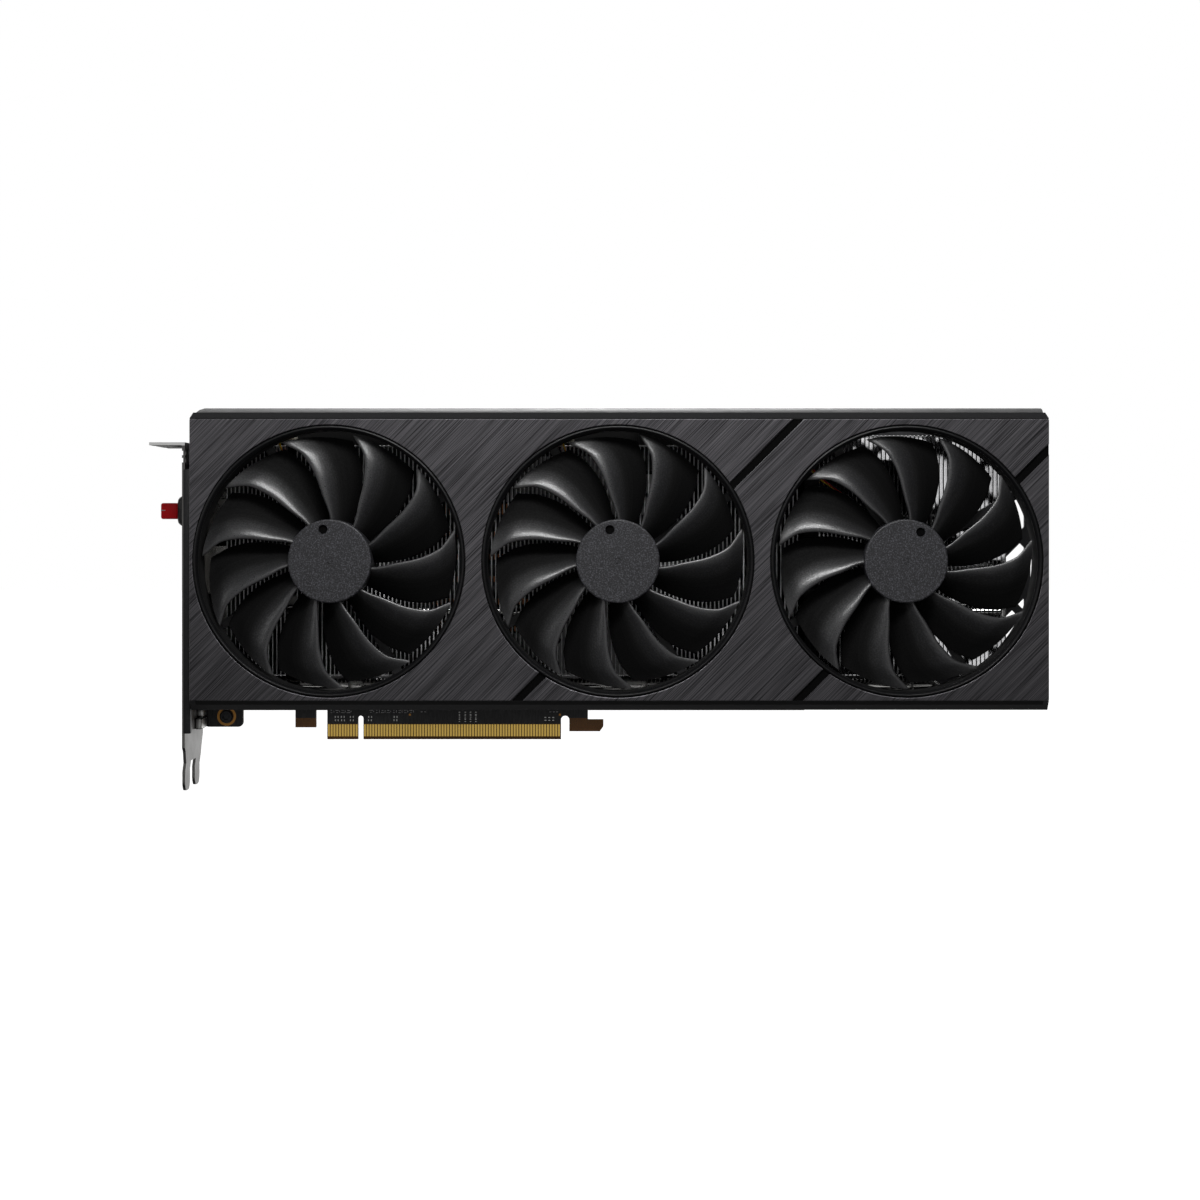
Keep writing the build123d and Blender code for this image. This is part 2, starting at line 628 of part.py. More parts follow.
def screws(points, head_low, tip, recess, name):
    """Pan-head screws driven from the back: a head, a shank and a cross recess."""
    with BuildPart() as group:
        with BuildSketch(level(head_low)):
            with Locations(*points):
                Circle(2.2)
        extrude(amount=0.9)
        with BuildSketch(level(head_low + 0.9)):
            with Locations(*points):
                Circle(SCREW_R)
        extrude(amount=tip - head_low - 0.9)
        with BuildSketch(level(head_low)):
            with Locations(*points):
                Rectangle(2.6, 0.7)
                Rectangle(0.7, 2.6)
        extrude(amount=recess, mode=Mode.SUBTRACT)
    write(group, name)


screws(PLATE_SCREWS, BACK_OUTER + 0.2, 4.0, 0.5, "backplate_screws")
screws(POSTS_ON_BOARD + POSTS_PAST_BOARD, BACK_OUTER + 0.2, 10.0, 0.5, "shroud_screws")

# ---- spring bracket behind the chip ----
with BuildPart() as spring_bracket:
    with BuildSketch(level(-3.0)):
        with Locations((CHIP_X, CHIP_Z)):
            Rectangle(78, 8, rotation=45)
            Rectangle(78, 8, rotation=-45)
            RectangleRounded(34, 34, 3)
            RectangleRounded(22, 22, 3, mode=Mode.SUBTRACT)
        with Locations(*CHIP_SCREWS):
            Circle(4.6)
            Circle(SCREW_HOLE_R, mode=Mode.SUBTRACT)
        with Locations((CHIP_X, CHIP_Z)):
            RectangleRounded(62, 62, 6, mode=Mode.INTERSECT)
    extrude(amount=1.2)
write(spring_bracket, "spring_bracket")
screws(CHIP_SCREWS, -4.6, 4.0, 0.5, "spring_bracket_screws")

with BuildPart() as collars:
    for low, high in ((-1.8, -SIDE), (-3.7, -3.0)):
        with BuildSketch(level(low)):
            with Locations(*CHIP_SCREWS):
                Circle(2.2)
                Circle(SCREW_HOLE_R, mode=Mode.SUBTRACT)
        extrude(amount=high - low)
write(collars, "spring_bracket_collars")

# ---- display sockets and their inserts ----
SOCKET_W, SOCKET_H, SHELL_T = 17.0, 6.2, 0.5
HDMI_W, HDMI_H = 15.2, 6.0
CAVITY_DEPTH = 12.0
SOCKET_MOUTH = BRACKET_OUTER + 0.2


def socket_shells(centres, width, tall, name):
    """Sheet-metal socket shells, open towards the bracket, closed at the board end."""
    middle = -(SIDE + tall / 2)
    with BuildPart() as shells:
        with BuildSketch(Plane.YZ.offset(SOCKET_MOUTH)):
            with Locations(*[(middle, z) for z in centres]):
                Rectangle(tall, width)
        extrude(amount=PORT_END - SOCKET_MOUTH)
        with BuildSketch(Plane.YZ.offset(SOCKET_MOUTH)):
            with Locations(*[(middle, z) for z in centres]):
                Rectangle(tall - 2 * SHELL_T, width - 2 * SHELL_T)
        extrude(amount=PORT_END - SOCKET_MOUTH - SHELL_T, mode=Mode.SUBTRACT)
    write(shells, name)


socket_shells(PORT_Z, SOCKET_W, SOCKET_H, "display_socket_shells")
socket_shells((HDMI_Z,), HDMI_W, HDMI_H, "media_socket_shell")

with BuildPart() as inserts:
    for centres, width, tall, tongue in (
        (PORT_Z, SOCKET_W, SOCKET_H, 12.0),
        ((HDMI_Z,), HDMI_W, HDMI_H, 10.4),
    ):
        middle = -(SIDE + tall / 2)
        back_end = SOCKET_MOUTH + CAVITY_DEPTH
        with BuildSketch(Plane.YZ.offset(back_end)):
            with Locations(*[(middle, z) for z in centres]):
                Rectangle(tall - 2 * SHELL_T, width - 2 * SHELL_T)
        extrude(amount=PORT_END - SHELL_T - back_end)
        with BuildSketch(Plane.YZ.offset(back_end - 9.5)):
            with Locations(*[(middle, z) for z in centres]):
                Rectangle(1.2, tongue)
        extrude(amount=9.5)
write(inserts, "socket_inserts")

# ---- dust cap on the highest display socket, with its pull tab ----
CAP_MIDDLE = -(SIDE + SOCKET_H / 2)
CAP_FACE = BRACKET_OUTER - 0.3
CAP_REACH = 7.2
with BuildPart() as cap:
    with BuildSketch(Plane.YZ.offset(CAP_FACE)):
        with Locations((CAP_MIDDLE, PORT_Z[0])):
            RectangleRounded(9.4, 19.0, 2.5)
    extrude(amount=-2.0)
    with BuildSketch(Plane.YZ.offset(CAP_FACE - 2.0)) as dome_base:
        with Locations((CAP_MIDDLE, PORT_Z[0])):
            RectangleRounded(8.6, 15.0, 2.4)
    with BuildSketch(Plane.YZ.offset(CAP_FACE - 5.4)) as dome_middle:
        with Locations((CAP_MIDDLE, PORT_Z[0])):
            RectangleRounded(7.6, 12.4, 2.2)
    with BuildSketch(Plane.YZ.offset(CAP_FACE - CAP_REACH)) as dome_end:
        with Locations((CAP_MIDDLE, PORT_Z[0])):
            RectangleRounded(5.6, 8.0, 1.8)
    loft()
    with BuildSketch(Plane.YZ.offset(CAP_FACE)):
        with Locations((CAP_MIDDLE, PORT_Z[0])):
            Rectangle(4.6, 15.4)
    extrude(amount=8.5)
    with BuildSketch(Plane.YZ.offset(CAP_FACE)):  # hollow that passes over the socket's tongue
        with Locations((CAP_MIDDLE, PORT_Z[0])):
            Rectangle(2.2, 12.8)
    extrude(amount=8.5, mode=Mode.SUBTRACT)
write(cap, "dust_cap")

with BuildPart() as pull_tab:
    with BuildSketch(level(-CAP_MIDDLE - 2.4)):
        with BuildLine():
            tab_end = CAP_FACE - CAP_REACH
            Polyline(
                (tab_end, PORT_Z[0] - 2.9),
                (tab_end, PORT_Z[0] + 2.9),
                (tab_end - 6.2, PORT_Z[0] + 2.9),
                (tab_end - 6.2, PORT_Z[0] - 2.9),
                close=True,
            )
        make_face()
    extrude(amount=4.8)
    fillet(pull_tab.edges().filter_by(Axis.Y), 0.8)
    fillet(pull_tab.faces().sort_by(Axis.X)[0].edges(), 0.4)
write(pull_tab, "dust_cap_tab")

# ---- mounting bracket ----
NOTCH_W = 4.42
NOTCH_HEIGHTS = (3.6, 23.9)
with BuildPart() as bracket:
    with BuildSketch(Plane.YZ.offset(BRACKET_OUTER)):
        with BuildLine():
            Polyline(
                (-BRACKET_BACK, TAB_Z),
                (-BRACKET_FRONT, TAB_Z),
                (-BRACKET_FRONT, 0.0),
                (-33.6, -1.5),
                (-32.3, -5.6),
                (-1.8, -5.6),
                (0.6, -1.5),
                (-BRACKET_BACK, 2.0),
                close=True,
            )
        make_face()
        with Locations(*[(-(SIDE + SOCKET_H / 2), z) for z in PORT_Z]):
            Rectangle(SOCKET_H + 0.4, SOCKET_W + 0.4, mode=Mode.SUBTRACT)
        with Locations((-(SIDE + HDMI_H / 2), HDMI_Z)):
            Rectangle(HDMI_H + 0.4, HDMI_W + 0.4, mode=Mode.SUBTRACT)
        with Locations((-21.0, 60.0)):  # exhaust slots of the second slot
            with GridLocations(6.0, 24.0, 3, 3):
                SlotOverall(20, 3.6, rotation=90, mode=Mode.SUBTRACT)
        with Locations(*BRACKET_SCREWS):
            Circle(SCREW_HOLE_R, mode=Mode.SUBTRACT)
        with Locations((-BRACKET_FRONT, 99.8), (-BRACKET_FRONT, 102.3)):  # reliefs by the bend
            Rectangle(5.0, 1.6, mode=Mode.SUBTRACT)
    extrude(amount=BRACKET_T)
    with BuildSketch(Plane.YZ.offset(BRACKET_OUTER)):  # counterbores, so the screw heads lie flush
        with Locations(*BRACKET_SCREWS):
            Circle(2.4)
    extrude(amount=0.6, mode=Mode.SUBTRACT)
    with BuildSketch(Plane.XY.offset(TAB_Z)):
        with Locations((BRACKET_INNER - (TAB_REACH + BRACKET_T) / 2, -(BRACKET_FRONT + BRACKET_BACK) / 2)):
            Rectangle(TAB_REACH + BRACKET_T, BRACKET_FRONT - BRACKET_BACK)
        for height in NOTCH_HEIGHTS:
            with Locations((BRACKET_OUTER - 5.6, -height)):
                Circle(NOTCH_W / 2, mode=Mode.SUBTRACT)
            with Locations((BRACKET_OUTER - 9.6, -height)):
                Rectangle(8.0, NOTCH_W, mode=Mode.SUBTRACT)
    extrude(amount=BRACKET_T)
    for height in TONGUE_HEIGHTS:  # joggled tongues
        with BuildSketch(level(height - TONGUE_W / 2)):
            with BuildLine():
                Polyline(
                    (BRACKET_OUTER, -4.0),
                    (BRACKET_INNER, -4.0),
                    (BRACKET_INNER, -5.4),
                    (BRACKET_INNER + JOGGLE, -8.4),
                    (BRACKET_INNER + JOGGLE, -15.4),
                    (BRACKET_OUTER + JOGGLE, -15.4),
                    (BRACKET_OUTER + JOGGLE, -8.6),
                    (BRACKET_OUTER, -5.6),
                    close=True,
                )
            make_face()
        extrude(amount=TONGUE_W)
    fillet(bracket.edges().filter_by(Axis.X).group_by(Axis.Z)[0], 3.4)
    with BuildSketch(level(-SIDE - BRACKET_T)):  # foot behind the board's lobe
        with Locations(((BRACKET_INNER - 43.6) / 2, 8.4)):
            Rectangle(-43.6 - BRACKET_INNER, 5.8)
        with Locations(BOARD_SCREW):
            Circle(SCREW_R + 0.05, mode=Mode.SUBTRACT)
    extrude(amount=BRACKET_T)
write(bracket, "mounting_bracket")

with BuildPart() as strip:
    with BuildSketch(level(32.6)):
        with Locations((BRACKET_INNER + 1.15, 50.8)):
            Rectangle(2.3, 91.8)
    extrude(amount=2.4)
    fillet(strip.edges().filter_by(Axis.Y).sort_by(Axis.Z)[:2], 1.1)
write(strip, "bracket_strip")

with BuildPart() as bracket_screws:
    with BuildSketch(Plane.YZ.offset(BRACKET_OUTER)):
        with Locations(*BRACKET_SCREWS):
            Circle(2.3)
    extrude(amount=0.6)
    with BuildSketch(Plane.YZ.offset(BRACKET_OUTER + 0.6)):
        with Locations(*BRACKET_SCREWS):
            Circle(SCREW_R)
    extrude(amount=4.4)
    with BuildSketch(Plane.YZ.offset(BRACKET_OUTER)):
        with Locations(*BRACKET_SCREWS):
            Rectangle(2.8, 0.7)
            Rectangle(0.7, 2.8)
    extrude(amount=0.4, mode=Mode.SUBTRACT)
write(bracket_screws, "bracket_screws")

with BuildPart() as board_screw:
    with BuildSketch(level(SIDE)):
        with Locations(BOARD_SCREW):
            Circle(2.35)
    extrude(amount=1.7)
    fillet(board_screw.edges().group_by(Axis.Y)[0], 0.5)
    with BuildSketch(level(-SIDE - BRACKET_T)):
        with Locations(BOARD_SCREW):
            Circle(SCREW_R)
    extrude(amount=BOARD_T + BRACKET_T)
    with BuildSketch(level(SIDE + 0.7)):
        with Locations(BOARD_SCREW):
            RegularPolygon(1.3, 6)
    extrude(amount=1.0, mode=Mode.SUBTRACT)
write(board_screw, "board_screw")
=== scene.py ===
import json
from math import cos, hypot, pi, radians, sin, sqrt
from random import Random

import bmesh
import bpy
from mathutils import Matrix, Vector


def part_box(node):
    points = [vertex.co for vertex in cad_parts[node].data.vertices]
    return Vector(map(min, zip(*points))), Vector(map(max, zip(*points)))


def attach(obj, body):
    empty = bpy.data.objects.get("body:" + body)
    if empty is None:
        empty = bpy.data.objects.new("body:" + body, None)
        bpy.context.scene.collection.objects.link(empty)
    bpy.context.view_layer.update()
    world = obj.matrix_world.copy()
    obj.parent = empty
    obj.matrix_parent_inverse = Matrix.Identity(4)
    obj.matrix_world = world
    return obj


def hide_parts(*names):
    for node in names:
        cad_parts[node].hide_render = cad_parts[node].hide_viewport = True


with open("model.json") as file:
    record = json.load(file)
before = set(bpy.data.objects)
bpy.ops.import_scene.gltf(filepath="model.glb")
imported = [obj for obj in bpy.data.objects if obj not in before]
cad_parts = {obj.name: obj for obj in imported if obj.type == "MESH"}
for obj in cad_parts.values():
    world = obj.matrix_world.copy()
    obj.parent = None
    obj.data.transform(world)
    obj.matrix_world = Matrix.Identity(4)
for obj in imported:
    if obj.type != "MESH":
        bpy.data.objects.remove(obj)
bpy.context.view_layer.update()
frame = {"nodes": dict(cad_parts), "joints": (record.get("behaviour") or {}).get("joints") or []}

# Three-fan graphics card. Sizes are in millimetres and become metres through MM.
# X runs along the card, Z up, and "height" is the distance from the board's mid-plane towards the
# fans, so a point at height h has Y = -h.
MM = 0.001
SCENE = bpy.context.scene

SPINS = [joint["pos_m"] for joint in frame["joints"] if joint.get("continuous")]
FAN_CENTRES = [(x / MM, z / MM) for x, _, z in SPINS]
FAN_TURN = (90.0, 90.5, 85.5)  # angle of one leading blade root on each fan, degrees
HOLE_TURN = (101.5, 104.5, 63.7)  # angle of each hub's balance hole, degrees
BLADES = 11
HUB_R, HUB_TOP, HUB_END = 14.5, 38.6, 26.0
HOLE_REACH, HOLE_R = 11.2, 1.5
TIP_R = 44.3
TIP_INSET = 2.0  # a blade's trailing corner stands this much further in than its leading corner
FACE = 40.4
PANEL_T = 1.2
SIDE = 0.8  # height of the board's component side
CONTACT_TOP, TAB_TOP = 5.6, 7.7  # where the bare laminate ends above the contacts and on the low tabs
TAB_ENDS, LOBE_END = (-14.0, 74.6), -30.0  # along the board: limits of the connector, end of the bracket lobe
TAB_LOW = 104.9  # just below the bracket's top tab
IN_WALL = 1.9  # just past the inner face of the shroud's walls
# The board above COOLER_BOTTOM gets painted shade.
COOLER_BOTTOM = 16.0  # the cooler covers the board above this


def limits(node):
    """Lowest and highest corner of a CAD node, in millimetres."""
    low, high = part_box(node)
    return low / MM, high / MM


# ---------------------------------------------------------------- materials


class Surface:
    """A procedural material: a Principled shader with noise-driven colour, roughness and bump."""

    def __init__(self, name, color, roughness, metallic=0.0, specular=0.5):
        self.material = bpy.data.materials.new(name)
        self.material.use_nodes = True
        self.tree = self.material.node_tree
        self.shader = self.tree.nodes["Principled BSDF"]
        self.set("Base Color", (*color, 1.0))
        self.set("Roughness", roughness)
        self.set("Metallic", metallic)
        self.set("Specular IOR Level", specular)
        self.normal = None

    def set(self, socket, value):
        self.shader.inputs[socket].default_value = value

    def add(self, kind, **settings):
        made = self.tree.nodes.new(kind)
        for key, value in settings.items():
            setattr(made, key, value)
        return made

    def link(self, source, target):
        self.tree.links.new(source, target)

    def place(self, stretch=(1, 1, 1), turn=(0, 0, 0)):
        """Object coordinates in metres, turned and then stretched."""
        coordinates = self.add("ShaderNodeTexCoord")
        turned = self.add("ShaderNodeMapping")
        turned.inputs["Rotation"].default_value = [radians(a) for a in turn]
        self.link(coordinates.outputs["Object"], turned.inputs["Vector"])
        scaled = self.add("ShaderNodeMapping")
        scaled.inputs["Scale"].default_value = stretch
        self.link(turned.outputs["Vector"], scaled.inputs["Vector"])
        return scaled.outputs["Vector"]

    def axes(self, kind="Object"):
        """X, Y and Z of the place on the surface in metres, or of its direction with kind Normal."""
        coordinates = self.add("ShaderNodeTexCoord")
        split = self.add("ShaderNodeSeparateXYZ")
        self.link(coordinates.outputs[kind], split.inputs["Vector"])
        return [split.outputs[axis] for axis in "XYZ"]

    def noise(self, scale, detail=2.0, roughness=0.5, stretch=(1, 1, 1), turn=(0, 0, 0)):
        made = self.add("ShaderNodeTexNoise")
        made.inputs["Scale"].default_value = scale
        made.inputs["Detail"].default_value = detail
        made.inputs["Roughness"].default_value = roughness
        self.link(self.place(stretch, turn), made.inputs["Vector"])
        return made.outputs["Fac"]

    def cells(self, scale):
        made = self.add("ShaderNodeTexVoronoi", feature="F1")
        made.inputs["Scale"].default_value = scale
        self.link(self.place(), made.inputs["Vector"])
        return made.outputs["Distance"]

    def spread(self, source, low, high, start=0.3, end=0.7):
        """The source's start..end range mapped to low..high."""
        made = self.add("ShaderNodeMapRange")
        made.inputs["From Min"].default_value = start
        made.inputs["From Max"].default_value = end
        made.inputs["To Min"].default_value = low
        made.inputs["To Max"].default_value = high
        self.link(source, made.inputs["Value"])
        return made.outputs["Result"]

    def math(self, operation, a, b):
        made = self.add("ShaderNodeMath", operation=operation)
        for socket, value in zip(made.inputs, (a, b)):
            if isinstance(value, (int, float)):
                socket.default_value = value
            else:
                self.link(value, socket)
        return made.outputs["Value"]

    def over(self, source, limit):
        return self.math("GREATER_THAN", source, limit)

    def under(self, source, limit):
        return self.math("LESS_THAN", source, limit)

    def both(self, *parts):
        """1 where every part is 1; parts between 0 and 1 are multiplied."""
        made = parts[0]
        for part in parts[1:]:
            made = self.math("MULTIPLY", made, part)
        return made

    def either(self, *parts):
        """The greatest of its parts."""
        made = parts[0]
        for part in parts[1:]:
            made = self.math("MAXIMUM", made, part)
        return made

    def blend(self, factor, dark, light):
        """Colour from dark to light by a factor; either end may be a colour or a socket."""
        made = self.add("ShaderNodeMix", data_type="RGBA")
        self.link(factor, made.inputs["Factor"])
        for socket, value in ((made.inputs[6], dark), (made.inputs[7], light)):
            if isinstance(value, tuple):
                socket.default_value = (*value, 1.0)
            else:
                self.link(value, socket)
        return made.outputs[2]

    def color(self, socket):
        self.link(socket, self.shader.inputs["Base Color"])

    def rough(self, socket):
        self.link(socket, self.shader.inputs["Roughness"])

    def bump(self, source, depth_mm):
        """Adds one more layer of relief, stacked on the layers before it."""
        made = self.add("ShaderNodeBump")
        made.inputs["Strength"].default_value = 1.0
        made.inputs["Distance"].default_value = depth_mm * MM
        self.link(source, made.inputs["Height"])
        if self.normal is not None:
            self.link(self.normal, made.inputs["Normal"])
        self.normal = made.outputs["Normal"]
        self.link(self.normal, self.shader.inputs["Normal"])


def moulded(name, color, roughness, grain_mm=0.35, depth_mm=0.02, specular=0.5, speckle=0.3, uneven=0.08):
    """Moulded plastic: fine spark-eroded grain with a pale speckle, and uneven gloss."""
    made = Surface(name, color, roughness, specular=specular)
    grain = made.noise(1 / (grain_mm * MM), 1)
    cloud = made.noise(60, 3)
    dark, light = tuple(c * 0.85 for c in color), tuple(c * 1.2 for c in color)
    mottled = made.blend(made.spread(cloud, 0, 1), dark, light)
    speck = tuple(c * (1 + 3 * speckle) + 0.004 * speckle for c in color)
    made.color(made.blend(made.spread(grain, 0, 1, 0.48, 0.72), mottled, speck))
    made.rough(made.spread(grain, roughness + uneven, roughness - uneven))
    made.bump(grain, depth_mm)
    return made.material


def metal(name, color, roughness, grain_mm=0.5, depth_mm=0.006, stretch=(1, 1, 1), metallic=1.0):
    """Sheet or plated metal with fine grain, handling marks and uneven gloss."""
    made = Surface(name, color, roughness, metallic=metallic)
    grain = made.noise(1 / (grain_mm * MM), 3, stretch=stretch)
    marks = made.noise(90, 4, 0.65)
    dark = tuple(c * 0.82 for c in color)
    made.color(made.blend(made.spread(marks, 0, 1), dark, color))
    made.rough(made.spread(marks, roughness - 0.07, roughness + 0.12))
    made.bump(grain, depth_mm)
    return made.material


def brushed_face():
    """Dark brushed metal, hairlines rising at 45 degrees away from the bracket, with painted shade making it
    darker low at the ends.
    """
    made = Surface("brushed_face", (0.17, 0.17, 0.18), 0.42, metallic=0.85)
    turn = (0, 45, 0)
    fine = made.noise(1, 1, stretch=(45, 900, 5800), turn=turn)
    wide = made.noise(1, 2, 0.6, stretch=(22, 300, 4000), turn=turn)
    cloud = made.noise(22, 2)
    x, _, z = made.axes()
    streak = made.math("ADD", made.spread(fine, 0, 0.6, 0.34, 0.66), made.spread(wide, 0, 0.4, 0.34, 0.66))
    base = made.blend(streak, (0.000, 0.000, 0.001), (0.228, 0.220, 0.236))
    worn = made.blend(made.spread(cloud, 0.0, 0.10), base, (0.11, 0.11, 0.117))
    # Painted shade: the colour darkens towards the bottom, most towards both ends of the panel.
    low = made.spread(z, 0.42, 0.16, 10 * MM, 60 * MM)
    from_middle = made.math("ABSOLUTE", made.math("SUBTRACT", x, 85 * MM), 0)
    ends = made.spread(from_middle, 0.35, 1.0, 40 * MM, 140 * MM)
    made.color(made.blend(made.both(low, ends), worn, (0.0, 0.0, 0.0)))
    made.rough(made.spread(wide, 0.36, 0.52))
    made.bump(fine, 0.006)
    made.bump(wide, 0.010)
    tangent = made.add("ShaderNodeTangent", direction_type="UV_MAP")
    made.link(tangent.outputs["Tangent"], made.shader.inputs["Tangent"])
    made.set("Anisotropic", 0.6)
    return made.material


def board_finish():
    """Black solder mask over copper relief; bare brown laminate at the contacts, low tabs and edges; painted
    shade, near black and dull, where the cooler covers the board.
    """
    made = Surface("board_finish", (0.01, 0.011, 0.012), 0.38, specular=0.3)
    x, _, z = made.axes()
    _, facing, _ = made.axes("Normal")
    edge = made.under(made.math("ABSOLUTE", facing, 0), 0.5)
    contact_strip = made.under(z, CONTACT_TOP * MM)
    off_contacts = made.either(made.under(x, TAB_ENDS[0] * MM), made.over(x, TAB_ENDS[1] * MM))
    past_lobe = made.over(x, LOBE_END * MM)
    tabs = made.both(made.under(z, TAB_TOP * MM), off_contacts, past_lobe)
    bare = made.both(made.either(contact_strip, tabs, edge), made.either(past_lobe, edge))
    fibre = made.noise(2500, 2, stretch=(1, 1, 3))
    laminate = made.blend(made.spread(fibre, 0, 1), (0.075, 0.030, 0.006), (0.22, 0.092, 0.019))
    traces = made.spread(made.noise(1, 1, stretch=(1400, 10, 260)), 0, 1, 0.45, 0.55)
    mask = made.blend(traces, (0.018, 0.018, 0.019), (0.028, 0.028, 0.029))
    # Painted shade: above the cooler's lower edge the board is coloured nearly black and made dull.
    cooler_shade = made.over(z, COOLER_BOTTOM * MM)
    made.color(made.blend(bare, made.blend(cooler_shade, mask, (0.002, 0.002, 0.002)), laminate))
    made.rough(made.either(made.spread(fibre, 0.3, 0.5), made.both(cooler_shade, 0.95)))
    made.bump(traces, 0.02)
    made.bump(made.spread(made.cells(900), 0, 1, 0.1, 0.4), 0.008)
    return made.material


def fin_finish():
    """Aluminium fins: sheared edges bright; sides painted nearly black as shade from the dark inside of the
    shroud.
    """
    made = Surface("fin_aluminium", (0.5, 0.5, 0.5), 0.4, metallic=0.5)
    facing, _, _ = made.axes("Normal")
    edge = made.under(made.math("ABSOLUTE", facing, 0), 0.5)
    grain = made.noise(1500, 3, stretch=(1, 6, 1))
    shade = made.blend(made.spread(grain, 0, 1), (0.70, 0.70, 0.71), (0.95, 0.95, 0.95))
    # Painted shade: the fin sides are coloured nearly black.
    made.color(made.blend(edge, (0.045, 0.045, 0.047), shade))
    made.rough(made.spread(grain, 0.35, 0.5))
    made.bump(grain, 0.006)
    return made.material


def bracket_finish():
    """Plated steel: painted highlight on the tab's front edge, painted shade (dull and dark) on its downward
    faces.
    """
    made = Surface("bracket_steel", (0.20, 0.20, 0.193), 0.36, metallic=1.0)
    _, facing_back, facing_up = made.axes("Normal")
    _, _, z = made.axes()
    # Painted shade on faces turned down, and a painted highlight on the tab's front edge.
    downward = made.under(facing_up, -0.7)
    front_of_tab = made.both(made.over(z, TAB_LOW * MM), made.under(facing_back, -0.3))
    marks = made.noise(90, 4, 0.65)
    plated = made.blend(made.spread(marks, 0, 1), (0.125, 0.122, 0.118), (0.175, 0.171, 0.165))
    edged = made.blend(front_of_tab, plated, (0.85, 0.85, 0.84))
    made.color(made.blend(downward, edged, (0.03, 0.03, 0.03)))
    made.rough(made.either(made.spread(marks, 0.28, 0.45), downward))
    made.link(made.math("SUBTRACT", 1.0, downward), made.shader.inputs["Metallic"])
    made.bump(made.noise(1400, 3), 0.01)
    return made.material


def shroud_finish():
    """Satin black plastic outside; every inner wall darker and dull, as painted shade."""
    made = Surface("shroud_plastic", (0.011, 0.011, 0.012), 0.42, specular=0.42)
    low, high = limits("shroud_body")
    x, _, z = made.axes()
    along = made.both(made.over(x, (low.x + IN_WALL) * MM), made.under(x, (high.x - IN_WALL) * MM))
    inside = made.both(along, made.over(z, (low.z + IN_WALL) * MM), made.under(z, (high.z - IN_WALL) * MM))
    grain = made.noise(2800, 1)
    skin = made.blend(made.spread(grain, 0, 1), (0.009, 0.009, 0.010), (0.015, 0.015, 0.016))
    # Painted shade: inside the shroud's walls the colour is nearly black.
    made.color(made.blend(inside, skin, (0.0012, 0.0012, 0.0014)))
    made.rough(made.either(made.spread(grain, 0.48, 0.36), made.both(inside, 0.85)))
    made.bump(grain, 0.02)
    return made.material


def blade_finish(name, gloss):
    """Satin black, with fine grain; duller and blacker as a blade falls away from its leading edge, the
    blacker colour being painted shade.
    """
    made = Surface(name, (0.008, 0.008, 0.009), 0.34, specular=gloss)
    _, y, _ = made.axes()
    fall = made.spread(y, 0.0, 1.0, -37.4 * MM, -34.2 * MM)
    grain = made.noise(2000, 1)
    speckled = made.blend(made.spread(grain, 0, 1, 0.45, 0.72), (0.010, 0.010, 0.011), (0.040, 0.040, 0.043))
    # Painted shade: the colour darkens to near black towards the blade's trailing part.
    made.color(made.blend(fall, speckled, (0.0008, 0.0008, 0.0009)))
    made.rough(made.math("ADD", made.spread(grain, 0.40, 0.24), made.both(fall, 0.5)))
    made.bump(grain, 0.05)
    return made.material


BLADE_TONES = 10
DULLEST = 0.22  # specular level at the trailing edge of a blade, against 1 at its nose

BRUSHED = brushed_face()
SHROUD = shroud_finish()
BOARD = board_finish()
BLADE = [
    blade_finish(f"blade_plastic_{i + 1}", DULLEST ** (i / (BLADE_TONES - 1))) for i in range(BLADE_TONES)
]
HUB = moulded("hub_plastic", (0.012, 0.012, 0.014), 0.46, grain_mm=0.45, depth_mm=0.05, speckle=1.8)
DARK = moulded("dark_plastic", (0.006, 0.006, 0.007), 0.45, specular=0.4)
FRAME_PLASTIC = moulded("frame_plastic", (0.010, 0.010, 0.011), 0.40)
CAP = moulded("cap_rubber", (0.012, 0.012, 0.012), 0.50, grain_mm=0.6)
RED = moulded("tab_red", (0.50, 0.004, 0.008), 0.50, specular=0.15, speckle=0.05)
CREAM = moulded("header_plastic", (0.55, 0.53, 0.46), 0.45)
TRIM = moulded("trim_plastic", (0.004, 0.004, 0.0045), 0.34, specular=0.3)
RAIL = metal("rail_metal", (0.25, 0.25, 0.25), 0.42, grain_mm=0.8, depth_mm=0.02, metallic=0.6)
BACKPLATE = metal("backplate_metal", (0.035, 0.035, 0.038), 0.42, grain_mm=0.3, depth_mm=0.015, metallic=0.5)
STEEL = bracket_finish()
BLACK_STEEL = metal("black_steel", (0.03, 0.03, 0.032), 0.36, metallic=0.7)
SPRING = metal("spring_steel", (0.42, 0.42, 0.43), 0.30, stretch=(1, 1, 8))
FIN = fin_finish()
PLATE_ALUMINIUM = metal("plate_aluminium", (0.50, 0.50, 0.51), 0.34)
# Painted shade: a darker copy of the pipes' nickel, for the pipes behind the fins.
SHADED_NICKEL = metal("shaded_nickel", (0.16, 0.16, 0.16), 0.45)
NICKEL = metal("pipe_nickel", (0.96, 0.95, 0.92), 0.12)
# Painted highlight for the lit chamfers along the panel's grooves.
GLINT = metal("painted_highlight_edge", (0.40, 0.40, 0.41), 0.35, metallic=0.3)
POLISHED = metal("polished_nickel", (0.96, 0.95, 0.92), 0.24)
